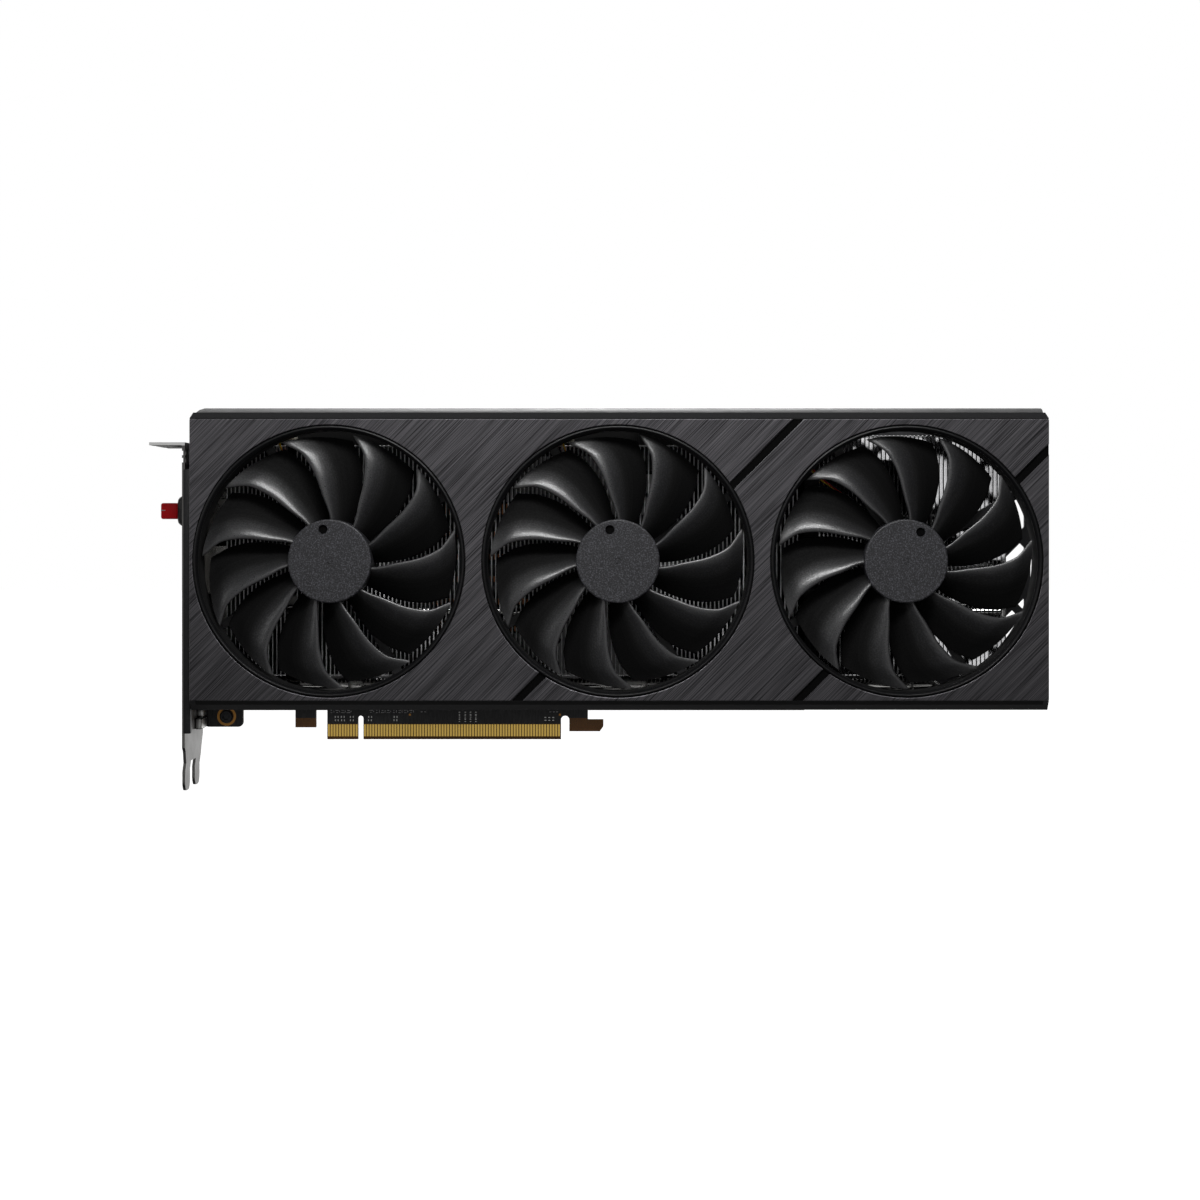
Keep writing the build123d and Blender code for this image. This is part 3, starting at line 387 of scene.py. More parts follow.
# Near black: painted shade on the groove floors and balance-hole floors; also the black foot block by the
# bracket.
PIT = moulded("pit_black", (0.001, 0.001, 0.001), 0.9, specular=0.1, speckle=0.1)
OPEN_FIN = metal("open_fin", (0.80, 0.80, 0.81), 0.14, stretch=(1, 6, 1))
COPPER = metal("copper", (0.62, 0.30, 0.16), 0.30)
RING_PAD = metal("pad_gold", (0.45, 0.22, 0.06), 0.36)
GOLD = metal("contact_gold", (1.0, 0.67, 0.16), 0.22, stretch=(6, 1, 1))
SOCKET_METAL = metal("socket_metal", (0.62, 0.61, 0.58), 0.24)
MAGNET = metal("magnet_steel", (0.30, 0.30, 0.31), 0.35)
CHIP = moulded("chip_resin", (0.012, 0.012, 0.013), 0.30)
SUBSTRATE = moulded("substrate_green", (0.015, 0.060, 0.030), 0.40)
DIE = metal("die_silicon", (0.25, 0.26, 0.30), 0.12)
PAD = moulded("pad_grey", (0.20, 0.22, 0.26), 0.75)
CHOKE = moulded("choke_ferrite", (0.045, 0.045, 0.048), 0.50, grain_mm=0.25)
TIN = metal("tin", (0.66, 0.66, 0.64), 0.32)
INK = moulded("legend_ink", (0.33, 0.33, 0.34), 0.65)
WIRES = [
    moulded("wire_yellow", (0.72, 0.46, 0.04), 0.40),
    moulded("wire_red", (0.50, 0.02, 0.015), 0.40),
    moulded("wire_black", (0.010, 0.010, 0.010), 0.40),
    moulded("wire_white", (0.50, 0.48, 0.44), 0.40),
]

# ---------------------------------------------------------------- mesh helpers


def show(name, mesh, materials, body="root", stands_for=(), sharp=35):
    """Makes a piece of a mesh, shades it and puts it on its body."""
    piece = bpy.data.objects.new(name, mesh)
    SCENE.collection.objects.link(piece)
    for material in materials:
        mesh.materials.append(material)
    mesh.polygons.foreach_set("use_smooth", [True] * len(mesh.polygons))
    mesh.set_sharp_from_angle(angle=radians(sharp))
    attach(piece, body)
    if stands_for:
        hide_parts(*stands_for)
    return piece


def mesh_of(bm, name):
    """A finished mesh from a bmesh, with its normals outwards."""
    bmesh.ops.recalc_face_normals(bm, faces=bm.faces)
    mesh = bpy.data.meshes.new(name)
    bm.to_mesh(mesh)
    bm.free()
    return mesh


def loft(bm, rings, paint=lambda i: 0):
    """Joins closed rings of points into a skin with flat ends; paint gives each strip's material."""
    loops = [[bm.verts.new(point * MM) for point in ring] for ring in rings]
    count = len(loops[0])
    for one, other in zip(loops, loops[1:]):
        for i in range(count):
            j = (i + 1) % count
            bm.faces.new((one[i], one[j], other[j], other[i])).material_index = paint(i)
    for end in (loops[0], loops[-1]):
        bm.faces.new(end).material_index = paint(0)


def lathe(bm, profile, centre, segments=96):
    """Turns a closed profile of (radius, height) points round an axis along Y at centre (x, z)."""
    rings = []
    for radius, height in profile:
        if radius == 0:
            rings.append([bm.verts.new(Vector((centre[0], -height, centre[1])) * MM)])
            continue
        ring = []
        for step in range(segments):
            angle = 2 * pi * step / segments
            x, z = centre[0] + radius * cos(angle), centre[1] + radius * sin(angle)
            ring.append(bm.verts.new(Vector((x, -height, z)) * MM))
        rings.append(ring)
    for first, second in zip(rings, rings[1:] + rings[:1]):
        for step in range(segments):
            after = (step + 1) % segments
            corners = [first[step % len(first)], first[after % len(first)]]
            corners += [second[after % len(second)], second[step % len(second)]]
            distinct = list(dict.fromkeys(corners))
            if len(distinct) > 2:
                bm.faces.new(distinct)


def rounded(profile, radius, steps=4):
    """A closed profile with each corner replaced by an arc of about that radius."""
    made = []
    count = len(profile)
    for i in range(count):
        corner = Vector(profile[i])
        before, after = Vector(profile[i - 1]) - corner, Vector(profile[(i + 1) % count]) - corner
        reach = min(radius, before.length * 0.45, after.length * 0.45)
        start, end = corner + before.normalized() * reach, corner + after.normalized() * reach
        for step in range(steps + 1):
            t = step / steps
            point = start * (1 - t) ** 2 + corner * 2 * t * (1 - t) + end * t ** 2
            made.append((point.x, point.y))
    return made


def circle(x, z, radius, segments=96):
    return [
        (x + radius * cos(2 * pi * i / segments), z + radius * sin(2 * pi * i / segments))
        for i in range(segments)
    ]


def rectangle(left, right, bottom, top, corner=0.0):
    outline = [(left, bottom), (right, bottom), (right, top), (left, top)]
    return rounded(outline, corner) if corner else outline


# FACING plates have their outline in X and Z and their thickness in height, ENDWISE ones in Y and Z, and X.
FACING = Matrix(((1, 0, 0, 0), (0, 0, -1, 0), (0, 1, 0, 0), (0, 0, 0, 1)))
ENDWISE = Matrix(((0, 0, 1, 0), (1, 0, 0, 0), (0, 1, 0, 0), (0, 0, 0, 1)))


def plate(name, outlines, low, high, edge=0.0, way=FACING):
    """A flat plate with holes: filled outlines, low..high thick, with rounded edges."""
    curve = bpy.data.curves.new(name, "CURVE")
    curve.dimensions = "2D"
    curve.fill_mode = "BOTH"
    curve.extrude = ((high - low) / 2 - edge) * MM
    curve.bevel_depth = edge * MM
    curve.bevel_resolution = 1
    curve.offset = -edge * MM
    for outline in outlines:
        spline = curve.splines.new("POLY")
        spline.points.add(len(outline) - 1)
        for point, (a, b) in zip(spline.points, outline):
            point.co = (a * MM, b * MM, 0, 1)
        spline.use_cyclic_u = True
    holder = bpy.data.objects.new(name, curve)
    mesh = bpy.data.meshes.new_from_object(holder)
    bpy.data.objects.remove(holder)
    mesh.transform(Matrix.Translation((0, 0, (low + high) / 2 * MM)))
    mesh.transform(way)
    bm = bmesh.new()
    bm.from_mesh(mesh)
    bmesh.ops.remove_doubles(bm, verts=bm.verts, dist=1e-7)
    bpy.data.meshes.remove(mesh)
    return mesh_of(bm, name)


def through(a, b, c, d, t):
    """The point at t of 0 to 1 between b and c, on the Catmull-Rom curve through all four."""
    square, cube = 2 * a - 5 * b + 4 * c - d, 3 * b - a - 3 * c + d
    return 0.5 * (2 * b + (c - a) * t + square * t ** 2 + cube * t ** 3)


def block(bm, low, high, edge=0.0, material=0):
    """A box between two corners, with rounded edges."""
    middle = (Vector(low) + Vector(high)) / 2
    size = Vector(high) - Vector(low)
    matrix = Matrix.Translation(middle * MM) @ Matrix.Diagonal((*(size * MM), 1))
    made = bmesh.ops.create_cube(bm, size=1, matrix=matrix)
    edges = list({e for v in made["verts"] for e in v.link_edges})
    faces = {f for v in made["verts"] for f in v.link_faces}
    if edge:
        result = bmesh.ops.bevel(bm, geom=edges, offset=edge * MM, segments=2, affect="EDGES", profile=0.5)
        faces = {f for f in faces if f.is_valid} | set(result["faces"])
    for face in faces:
        face.material_index = material


def carve(piece, cutter):
    """Cuts one mesh out of a piece and removes the cutter."""
    step = piece.modifiers.new("carve", "BOOLEAN")
    step.operation = "DIFFERENCE"
    step.solver = "EXACT"
    step.object = cutter
    bpy.context.view_layer.update()
    graph = bpy.context.evaluated_depsgraph_get()
    carved = bpy.data.meshes.new_from_object(piece.evaluated_get(graph))
    piece.modifiers.clear()
    piece.data = carved
    bpy.data.objects.remove(cutter)


def loose(name, mesh):
    """An object that is only a tool for another piece."""
    made = bpy.data.objects.new(name, mesh)
    SCENE.collection.objects.link(made)
    return made


# ---------------------------------------------------------------- rotors

# Polar course of a blade's two edges from the leading root, counter-clockwise positive:
# radius, leading angle, trailing angle, leading height, trailing height.
BLADE_SECTIONS = (
    (13.9, -0.5, -27.0, 36.6, 27.8),
    (22.0, 6.2, -24.8, 37.2, 27.6),
    (31.0, 10.2, -20.3, 37.4, 27.8),
    (38.5, 15.0, -15.0, 37.0, 28.4),
    (44.9, 23.0, -9.4, 36.0, 29.2),
)
BLADE_T = 1.24  # thickest, just behind the leading edge
ROOT_R = 14.0
ROOT_TO_TIP = TIP_R - ROOT_R
SPAN_STEPS, CHORD_STEPS = 21, 28

# A blade's front is nearly flat beside its leading edge and turns steep over a shoulder.
SHOULDER, SHOULDER_W, NOSE_SHARE = 0.17, 0.10, 0.28
SHOULDER_START = hypot(SHOULDER, SHOULDER_W) - SHOULDER
SHOULDER_RISE = 1 - SHOULDER + hypot(1 - SHOULDER, SHOULDER_W) - SHOULDER_START


def along(table, radius):
    """A smooth reading of a table of rows at a radius, by a Catmull-Rom curve through the rows."""
    last = len(table) - 1
    i = max(n for n in range(last) if table[n][0] <= radius or n == 0)
    t = (radius - table[i][0]) / (table[i + 1][0] - table[i][0])
    rows = [table[max(0, i - 1)], table[i], table[i + 1], table[min(last, i + 2)]]
    return [through(*values, t) for values in zip(*rows)][1:]


def blade_section(radius):
    """Closed loop of (radius, angle, height) round a blade: a cambered foil with a rounded nose."""
    lead, trail, lead_height, trail_height = along(BLADE_SECTIONS, radius)
    chord = radians(lead - trail) * radius
    drop = lead_height - trail_height
    front, back = [], []
    for i in range(CHORD_STEPS):
        t = (1 - cos(pi * i / (CHORD_STEPS - 1))) / 2
        bend = hypot(t - SHOULDER, SHOULDER_W)
        steep = (t - SHOULDER + bend - SHOULDER_START) / SHOULDER_RISE
        camber = NOSE_SHARE * t + (1 - NOSE_SHARE) * steep
        slope = drop * (NOSE_SHARE + (1 - NOSE_SHARE) * (1 + (t - SHOULDER) / bend) / SHOULDER_RISE) / chord
        nose, tail = sqrt(min(1.0, t / 0.06)), (1.02 - t) / 0.05
        half = BLADE_T / 2 * (1 - 0.45 * t) * min(nose, tail)
        across = hypot(1, slope)
        s, h = -chord * t, lead_height - drop * camber
        reach = radius - TIP_INSET * t * (radius - ROOT_R) / ROOT_TO_TIP
        front.append((reach, s - half * slope / across, h + half / across))
        back.append((reach, s + half * slope / across, h - half / across))
    loop = front + back[-2:0:-1]
    return [(reach, radians(lead) + s / radius, h) for reach, s, h in loop]


FADE_START, FADE_END = 0.22, 0.60  # shares of the way from nose to trailing edge where the gloss fades


def blade_tone(i):
    """Material of strip i of a blade's section, by its way from the nose on either side."""
    count = 2 * CHORD_STEPS - 2
    t = min(i, count - i - 1) / (count / 2 - 1)
    fade = min(max((t - FADE_START) / (FADE_END - FADE_START), 0), 1)
    return round(fade * (BLADE_TONES - 1))


def add_blade(bm, centre, turn):
    """One blade of a rotor, at its turn in degrees."""
    rings = []
    for step in range(SPAN_STEPS + 1):
        ring = []
        for reach, angle, height in blade_section(ROOT_R + ROOT_TO_TIP * step / SPAN_STEPS):
            a = angle + radians(turn)
            ring.append(Vector((centre[0] + reach * cos(a), -height, centre[1] + reach * sin(a))))
        rings.append(ring)
    loft(bm, rings, blade_tone)


def rotor(number, centre):
    """Hub with eleven swept blades, a balance hole and a moulding ring at its middle."""
    fan = f"fan_{number + 1}"
    bm = bmesh.new()
    for blade in range(BLADES):
        add_blade(bm, centre, FAN_TURN[number] + 360 / BLADES * blade)
    show(f"{fan}_blades", mesh_of(bm, "blades"), BLADE, fan, sharp=50)
    bm = bmesh.new()
    hub = [
        (0, HUB_TOP), (0.7, HUB_TOP), (0.72, HUB_TOP - 0.25), (1.2, HUB_TOP - 0.25), (1.25, HUB_TOP),
        (HUB_R - 0.7, HUB_TOP), (HUB_R - 0.5, HUB_TOP), (HUB_R - 0.25, HUB_TOP - 0.08),
        (HUB_R - 0.08, HUB_TOP - 0.25), (HUB_R, HUB_TOP - 0.55), (HUB_R, HUB_END), (HUB_R - 1.2, HUB_END),
        (HUB_R - 1.2, HUB_TOP - 1.5), (0, HUB_TOP - 1.5),
    ]
    lathe(bm, hub, centre, 128)
    cap = show(f"{fan}_hub", mesh_of(bm, "hub"), [HUB], fan, [f"{fan}_rotor"])
    angle = radians(HOLE_TURN[number])
    hole = (centre[0] + HOLE_REACH * cos(angle), centre[1] + HOLE_REACH * sin(angle))
    bm = bmesh.new()
    funnel = [
        (0, HUB_TOP + 1), (HOLE_R + 0.4, HUB_TOP + 1), (HOLE_R + 0.15, HUB_TOP - 0.1),
        (HOLE_R, HUB_TOP - 0.3), (HOLE_R, HUB_TOP - 1.25), (0, HUB_TOP - 1.3),
    ]
    lathe(bm, funnel, hole, 40)
    carve(cap, loose("hole_cutter", mesh_of(bm, "hole_cutter")))
    cap.data.set_sharp_from_angle(angle=radians(30))
    # Painted shade: a near-black disc low in the balance hole.
    bm = bmesh.new()
    rim, upper, lower = HOLE_R - 0.04, HUB_TOP - 1.0, HUB_TOP - 1.25
    lathe(bm, [(0, upper), (rim, upper), (rim, lower), (0, lower)], hole, 40)
    show(f"{fan}_hole_floor", mesh_of(bm, "hole_floor"), [PIT], fan)


for number, centre in enumerate(FAN_CENTRES):
    rotor(number, centre)

# ---------------------------------------------------------------- face panel and ring trims

OPENING_R = 47.1
RING_IN, RING_OUT = 45.2, 46.8
GROOVES = ((1, 6.7), (2, 5.2))  # index of the opening each groove crosses, and how far below its middle
GROOVE_HALF, GROOVE_DEPTH, GROOVE_REACH = 1.3, 0.8, 90


def face_panel():
    """Brushed panel with three openings and two recessed diagonal grooves."""
    low, high = limits("face_panel")
    outlines = [rectangle(low.x, high.x, low.z, high.z, 0.4)]
    outlines += [circle(x, z, OPENING_R, 180) for x, z in FAN_CENTRES]
    mesh = plate("brushed_panel", outlines, FACE - PANEL_T, FACE, 0.22)
    panel = show("brushed_panel", mesh, [BRUSHED, PIT, GLINT], "root", ["face_panel"], sharp=12)
    section = (
        (-GROOVE_HALF - 0.2, FACE + 0.1), (-GROOVE_HALF, FACE - 0.1), (-GROOVE_HALF, FACE - GROOVE_DEPTH),
        (GROOVE_HALF, FACE - GROOVE_DEPTH), (GROOVE_HALF, FACE - 0.35), (GROOVE_HALF + 0.55, FACE + 0.2),
    )
    for number, offset in GROOVES:
        x, z = FAN_CENTRES[number][0] + offset, FAN_CENTRES[number][1] - offset
        rings = [
            [Vector((x + (reach - across) / sqrt(2), -height, z + (reach + across) / sqrt(2)))
             for across, height in section]
            for reach in (-GROOVE_REACH, GROOVE_REACH)
        ]
        bm = bmesh.new()
        loft(bm, rings)
        carve(panel, loose("groove_cutter", mesh_of(bm, "groove_cutter")))
    panel.data.set_sharp_from_angle(angle=radians(12))
    # Painted shade: faces on the groove floors take the near-black PIT.
    for face in panel.data.polygons:
        in_groove = (0.3 - FACE) * MM < face.center.y < (1.0 - FACE) * MM
        chamfer = -0.9 < face.normal.y < -0.5 and face.area > 4 * MM * MM
        # Painted highlight: long chamfers facing up and left take the bright GLINT.
        lit_edge = chamfer and face.normal.z > 0.3 and face.normal.x < -0.3
        face.material_index = 1 if in_groove else 2 if lit_edge else 0
    layer = panel.data.uv_layers.new(name="brush")
    for loop in panel.data.loops:
        x, _, z = panel.data.vertices[loop.vertex_index].co
        layer.data[loop.index].uv = ((x + z) * 2, (z - x) * 2)


face_panel()


def ring_trims():
    """Thin rings that line the three openings."""
    bm = bmesh.new()
    outline = [
        (RING_IN, FACE - 1.2), (RING_OUT, FACE - 1.2), (RING_OUT, FACE), (RING_OUT - 0.4, FACE + 0.2),
        (RING_OUT - 0.7, FACE + 0.2), (RING_IN, FACE - 0.8),
    ]
    profile = rounded(outline, 0.12, 2)
    for centre in FAN_CENTRES:
        lathe(bm, profile, centre, 200)
    show("opening_rings", mesh_of(bm, "opening_rings"), [TRIM], "root", ["fan_ring_trims"])


ring_trims()

# ---------------------------------------------------------------- fins

PIPE_ROWS = (46, 54, 62, 70, 78)
PIPE_HEIGHT = 9.05
PIPE_R = 3.0
RETURN_Z, RETURN_END = 19.5, 208.0  # where the returned pipe runs below the fins, and where it ends
FIN_PITCH, FIN_T = 1.46, 0.42
SOCKET_NOTCH = (98.5, 140.5)  # along the card: fins here are cut back behind the power sockets
NOTCH_Y, NOTCH_LOW = -12.4, 95.0


def fin_outline(node, notched=False):
    """Outline of one fin in Y and Z, with holes where it holds the heat pipes."""
    low, high = limits(node)
    outline = [(low.y, low.z), (high.y, low.z), (high.y, high.z), (low.y, high.z)]
    if notched:
        outline[2:3] = [(high.y, NOTCH_LOW), (NOTCH_Y, NOTCH_LOW), (NOTCH_Y, high.z)]
    outlines = [rounded(outline, 0.8, 2)]
    if high.y > -PIPE_HEIGHT + PIPE_R:
        outlines += [circle(-PIPE_HEIGHT, z, PIPE_R + 0.06, 28) for z in PIPE_ROWS]
    return outlines


def fins(node, name, material=FIN, notch=(0, 0)):
    """A stack of thin fins at their real pitch, tied by folded tabs along both long edges."""
    low, high = limits(node)
    count = int((high.x - low.x - FIN_T) / FIN_PITCH) + 1
    whole = plate("fin", fin_outline(node), 0, FIN_T, 0, ENDWISE)
    cut = plate("cut_fin", fin_outline(node, True), 0, FIN_T, 0, ENDWISE) if any(notch) else whole
    bm = bmesh.new()
    for i in range(count):
        x = low.x + i * FIN_PITCH
        start = len(bm.verts)
        bm.from_mesh(cut if notch[0] < x < notch[1] else whole)
        bm.verts.ensure_lookup_table()
        bmesh.ops.translate(bm, verts=bm.verts[start:], vec=(x * MM, 0, 0))
    for i in range(count - 1):
        x = low.x + i * FIN_PITCH + FIN_T
        for z in (low.z, high.z - FIN_T):
            for y in (low.y + 1.2, (low.y + min(high.y, NOTCH_Y)) / 2):
                cut_away = any(notch) and z > low.z and notch[0] - 2 < x < notch[1] and y > NOTCH_Y
                if not cut_away:
                    block(bm, (x, y, z), (x + FIN_PITCH - FIN_T, y + 2.2, z + FIN_T))
    show(name, mesh_of(bm, name), [material], "root", [node], sharp=30)


fins("bracket_side_fins", "fins_by_bracket")
fins("main_fins", "fins_over_board", notch=SOCKET_NOTCH)
fins("flow_through_fins", "fins_past_board", OPEN_FIN)


def pipe_course(z, start):
    """Middle line of one pipe, as (x, z) points; the lowest one turns back and runs below the fins."""
    if z != PIPE_ROWS[0]:
        return [(start, z), (-20.0, z)]
    bend_x, bend_r = -22.0, (z - RETURN_Z) / 2
    turns = [radians(90 + 180 * step / 24) for step in range(25)]
    bend = [(bend_x + bend_r * cos(angle), z - bend_r + bend_r * sin(angle)) for angle in turns]
    return [(start, z), *bend, (RETURN_END, RETURN_Z)]


def heat_pipes():
    """Nickel-plated pipes with pinched round ends; all but the lowest pipe, which turns back below the fins,
    take a darker nickel as painted shade.
    """
    far_end = limits("heat_pipes")[1].x
    nose = [(0.0, 0.5), (0.9, 1.6), (2.4, 2.6), (4.0, PIPE_R)]  # (way in from the end, radius)
    bm = bmesh.new()
    for row in PIPE_ROWS[1:] + PIPE_ROWS[:1]:
        points = [Vector((x, -PIPE_HEIGHT, z)) for x, z in pipe_course(row, far_end)]
        last, end = len(points) - 1, points[-1]
        ways = [(points[min(i + 1, last)] - points[max(i - 1, 0)]).normalized() for i in range(last + 1)]
        stations = [(points[0] + ways[0] * reach, ways[0], radius) for reach, radius in nose]
        stations += [(points[i], ways[i], PIPE_R) for i in range(1, last)]
        stations += [(end - ways[last] * reach, ways[last], radius) for reach, radius in reversed(nose)]
        rings = []
        for point, ahead, radius in stations:
            across = ahead.cross(Vector((0, 1, 0))).normalized()
            angles = [2 * pi * k / 32 for k in range(32)]
            rings.append([point + across * radius * cos(a) + Vector((0, radius * sin(a), 0)) for a in angles])
        # Painted shade: every row but the lowest takes the darker nickel.
        unshaded_row = int(row == PIPE_ROWS[0])
        loft(bm, rings, lambda i: unshaded_row)
    show("pipes", mesh_of(bm, "pipes"), [SHADED_NICKEL, NICKEL], "root", ["heat_pipes"])


heat_pipes()

SADDLES = ((-3.4, 2.2), (93.6, 103.2), (189.6, 198.0))  # along the card: start and end of each


def pipe_saddles():
    """Polished saddles round the front of the returned pipe, low in each opening."""
    bm = bmesh.new()
    for left, right in SADDLES:
        rings = []
        for step in range(13):
            t = step / 12
            x = left + t * (right - left)
            reach = min(min(t, 1 - t) * (right - left) / 1.8, 1)
            radius = PIPE_R + 0.1 + 0.75 * sqrt(1 - (1 - reach) ** 2)
            angles = [radians(-80 + 10 * k) for k in range(17)]
            ring = [Vector((x, -PIPE_HEIGHT - radius * cos(a), RETURN_Z + radius * sin(a))) for a in angles]
            ring += [Vector((x, -PIPE_HEIGHT, RETURN_Z + side * (PIPE_R - 0.1))) for side in (1, -1)]
            rings.append(ring)
        loft(bm, rings)
    show("pipe_saddles", mesh_of(bm, "pipe_saddles"), [POLISHED])


pipe_saddles()

# ---------------------------------------------------------------- small parts and marks


def box_piece(name, boxes, materials, body="root", stands_for=(), edge=0.0):
    """One piece of several blocks, each given as (low, high, material index)."""
    bm = bmesh.new()
    for low, high, material in boxes:
        block(bm, low, high, edge, material)
    show(name, mesh_of(bm, name), materials, body, stands_for)


SUNK = SIDE - 0.02  # parts and marks reach just into the board


def standing(x, z, width, tall, low, high, material=0):
    """A block on the board side: its middle, its size and its heights."""
    return ((x - width / 2, -high, z - tall / 2), (x + width / 2, -low, z + tall / 2), material)


def chip_part(x, z, along_z=False, size=1.0):
    """A surface-mount part: a dark body between two tinned ends."""
    body, end = size, 0.3 * size
    made = []
    for shift, length, material in ((0, body, 0), (-(body + end) / 2, end, 1), ((body + end) / 2, end, 1)):
        dx, dz = (0, shift) if along_z else (shift, 0)
        width, tall = (0.8 * size, length) if along_z else (length, 0.8 * size)
        made.append(standing(x + dx, z + dz, width, tall, SUNK, SIDE + 0.5 * size, material))
    return made


LOBE_SCREW = (-48.4, 8.3)  # X and Z of the screw through the board's lobe
KEY_GAP = 2.6  # marks keep this far from the key notch on either side


def ink_mark(x, z, width, tall):
    return standing(x, z, width, tall, SUNK, SIDE + 0.02)


def board_details():
    """Pad round the corner screw, rows of small parts and blank marks along the board's lower edge."""
    bm = bmesh.new()
    washer = [(2.55, SUNK), (3.4, SUNK), (3.4, SIDE + 0.06), (2.55, SIDE + 0.06)]
    lathe(bm, washer, LOBE_SCREW, 72)
    show("screw_pad", mesh_of(bm, "screw_pad"), [RING_PAD])

    random = Random(7)
    parts, marks = [], []
    for x in (-8.6, -6.4, -3.2, 3.4, 12.6):
        for z in (6.9, 8.1):
            parts += chip_part(x + random.uniform(-0.1, 0.1), z, False, 0.8)
    for x in (35.6, 37.7, 39.6, 41.5):
        for z in (6.8, 8.1, 9.4):
            parts += chip_part(x, z, True, 0.62)
    for x in (66.6, 68.0, 69.4):
        parts += chip_part(x, 7.4, True, 0.8)
    # broken lines in place of the printed legend
    for step in range(15):
        x = -10.6 + step * 2.05
        if abs(x) < KEY_GAP:
            continue
        for row in range(2):
            marks.append(ink_mark(x, 10.4 - row * 0.75, random.uniform(0.5, 1.4), 0.28))
        marks.append(ink_mark(x + 0.9, 10.05, 0.25, random.uniform(0.5, 1.1)))
    marks += [ink_mark(x, 9.9, 0.7, 0.3) for x in (22.0, 23.2, 68.4, 69.6, 70.8)]
    box_piece("board_small_parts", parts, [CHIP, TIN])
    box_piece("board_marks", marks, [INK])
    test_pads = [standing(x, 8.9, 0.7, 0.7, SUNK, SIDE + 0.03) for x in (17.7, 71.8)]
    box_piece("test_pads", test_pads, [RING_PAD])


board_details()


def bracket_details():
    """Foot blocks beside the board's lobe, and the trim that laps over the bracket's front edge."""
    tinned = ((-57.5, -10.0, 8.9), (-55.4, -1.0, 11.4), 0)
    black = ((-57.5, -14.0, 4.7), (-55.3, -1.0, 8.5), 1)
    box_piece("bracket_foot_blocks", [tinned, black], [TIN, PIT], edge=0.25)
    low, high = limits("bracket_strip")
    trim = [((-58.15, -35.55, low.z), (high.x - 0.3, high.y, high.z), 0)]
    box_piece("edge_trim", trim, [DARK], "root", ["bracket_strip"], 0.35)


bracket_details()


def rail():
    """Light strip along the top edge, tapering at the bracket's end."""
    low, high = limits("top_rail")
    left, right = low.x - 1.4, high.x + 1.5
    outline = [
        (left, low.z), (right, low.z), (right - 0.3, high.z - 0.5), (right - 0.8, high.z),
        (left + 3.2, high.z), (left + 1.4, high.z - 0.6),
    ]
    show("light_strip", plate("light_strip", [outline], -high.y, -low.y, 0.2), [RAIL], "root", ["top_rail"])


rail()

CAP_Y, CAP_Z = -3.9, 82.3


def cap_outline(deep, tall, corner):
    return rectangle(CAP_Y - deep / 2, CAP_Y + deep / 2, CAP_Z - tall / 2, CAP_Z + tall / 2, corner)


def dust_cap():
    """Soft cap: flange, domed grip and a hollow plug, with a flat pull tab moulded to the dome."""
    bm = bmesh.new()
    sections = (  # X, then size along Y and Z and corner radius
        (-58.9, 9.0, 17.2, 2.4), (-59.1, 9.4, 17.6, 2.5), (-60.6, 9.4, 17.6, 2.5), (-60.9, 9.0, 17.2, 2.4),
        (-61.0, 8.4, 12.4, 2.4), (-62.4, 8.3, 11.6, 2.4), (-63.5, 8.0, 10.9, 2.3), (-64.4, 7.3, 9.8, 2.2),
        (-64.9, 6.4, 8.6, 1.9), (-65.1, 5.2, 7.2, 1.6),
    )
    rings = [[Vector((x, y, z)) for y, z in cap_outline(*size)] for x, *size in sections]
    loft(bm, rings)
    shell = [cap_outline(deep, tall, 0.3) for deep, tall in ((4.6, 15.4), (2.2, 12.8))]
    bm.from_mesh(plate("plug", shell, -58.95, -50.4, 0, ENDWISE))
    show("dust_cap_body", mesh_of(bm, "dust_cap_body"), [CAP], "port_cap", ["dust_cap"], sharp=40)
    tab = [((-71.2, -6.3, 79.4), (-65.0, -1.5, 85.2), 0)]
    box_piece("pull_tab", tab, [RED], "port_cap", ["dust_cap_tab"], 0.7)
    # Painted highlight: a pale line for the lit edge of a moulded groove across the tab.
    groove_highlight = [((-71.1, -6.34, 82.45), (-69.5, -6.2, 82.75), 0)]
    box_piece("pull_tab_groove_highlight", groove_highlight, [INK], "port_cap")


dust_cap()

LEAD_HEIGHT = 21.7
LEAD_COURSE = (  # reach from the fan's centre and angle in degrees
    ((11.0, 122.0), (22.0, 113.0), (34.5, 117.0)),
    ((11.0, 122.0), (22.0, 113.0), (34.5, 117.0)),
    ((11.0, 139.0), (27.0, 129.5), (43.0, 134.5)),
)
HEADERS = ((-27.7, 109.0), (72.0, 109.0), (152.0, 109.0))  # X and Z of the board's fan headers
PLUG_TOP = 8.2
WIRE_R = 0.29


def lead_course(number):
    """Smooth middle line of a lead, from its fan's motor round to its header on the board."""
    x, z = FAN_CENTRES[number]
    course = [
        Vector((x + reach * cos(radians(turn)), -LEAD_HEIGHT, z + reach * sin(radians(turn))))
        for reach, turn in LEAD_COURSE[number]
    ]
    end_x, end_z = HEADERS[number]
    course += [Vector((end_x, -LEAD_HEIGHT, end_z)), Vector((end_x, -PLUG_TOP, end_z))]
    last = len(course) - 1
    smooth = []
    for i in range(last):
        around = course[max(0, i - 1)], course[i], course[i + 1], course[min(last, i + 2)]
        smooth += [through(*around, step / 8) for step in range(8)]
    return smooth + [course[last]]


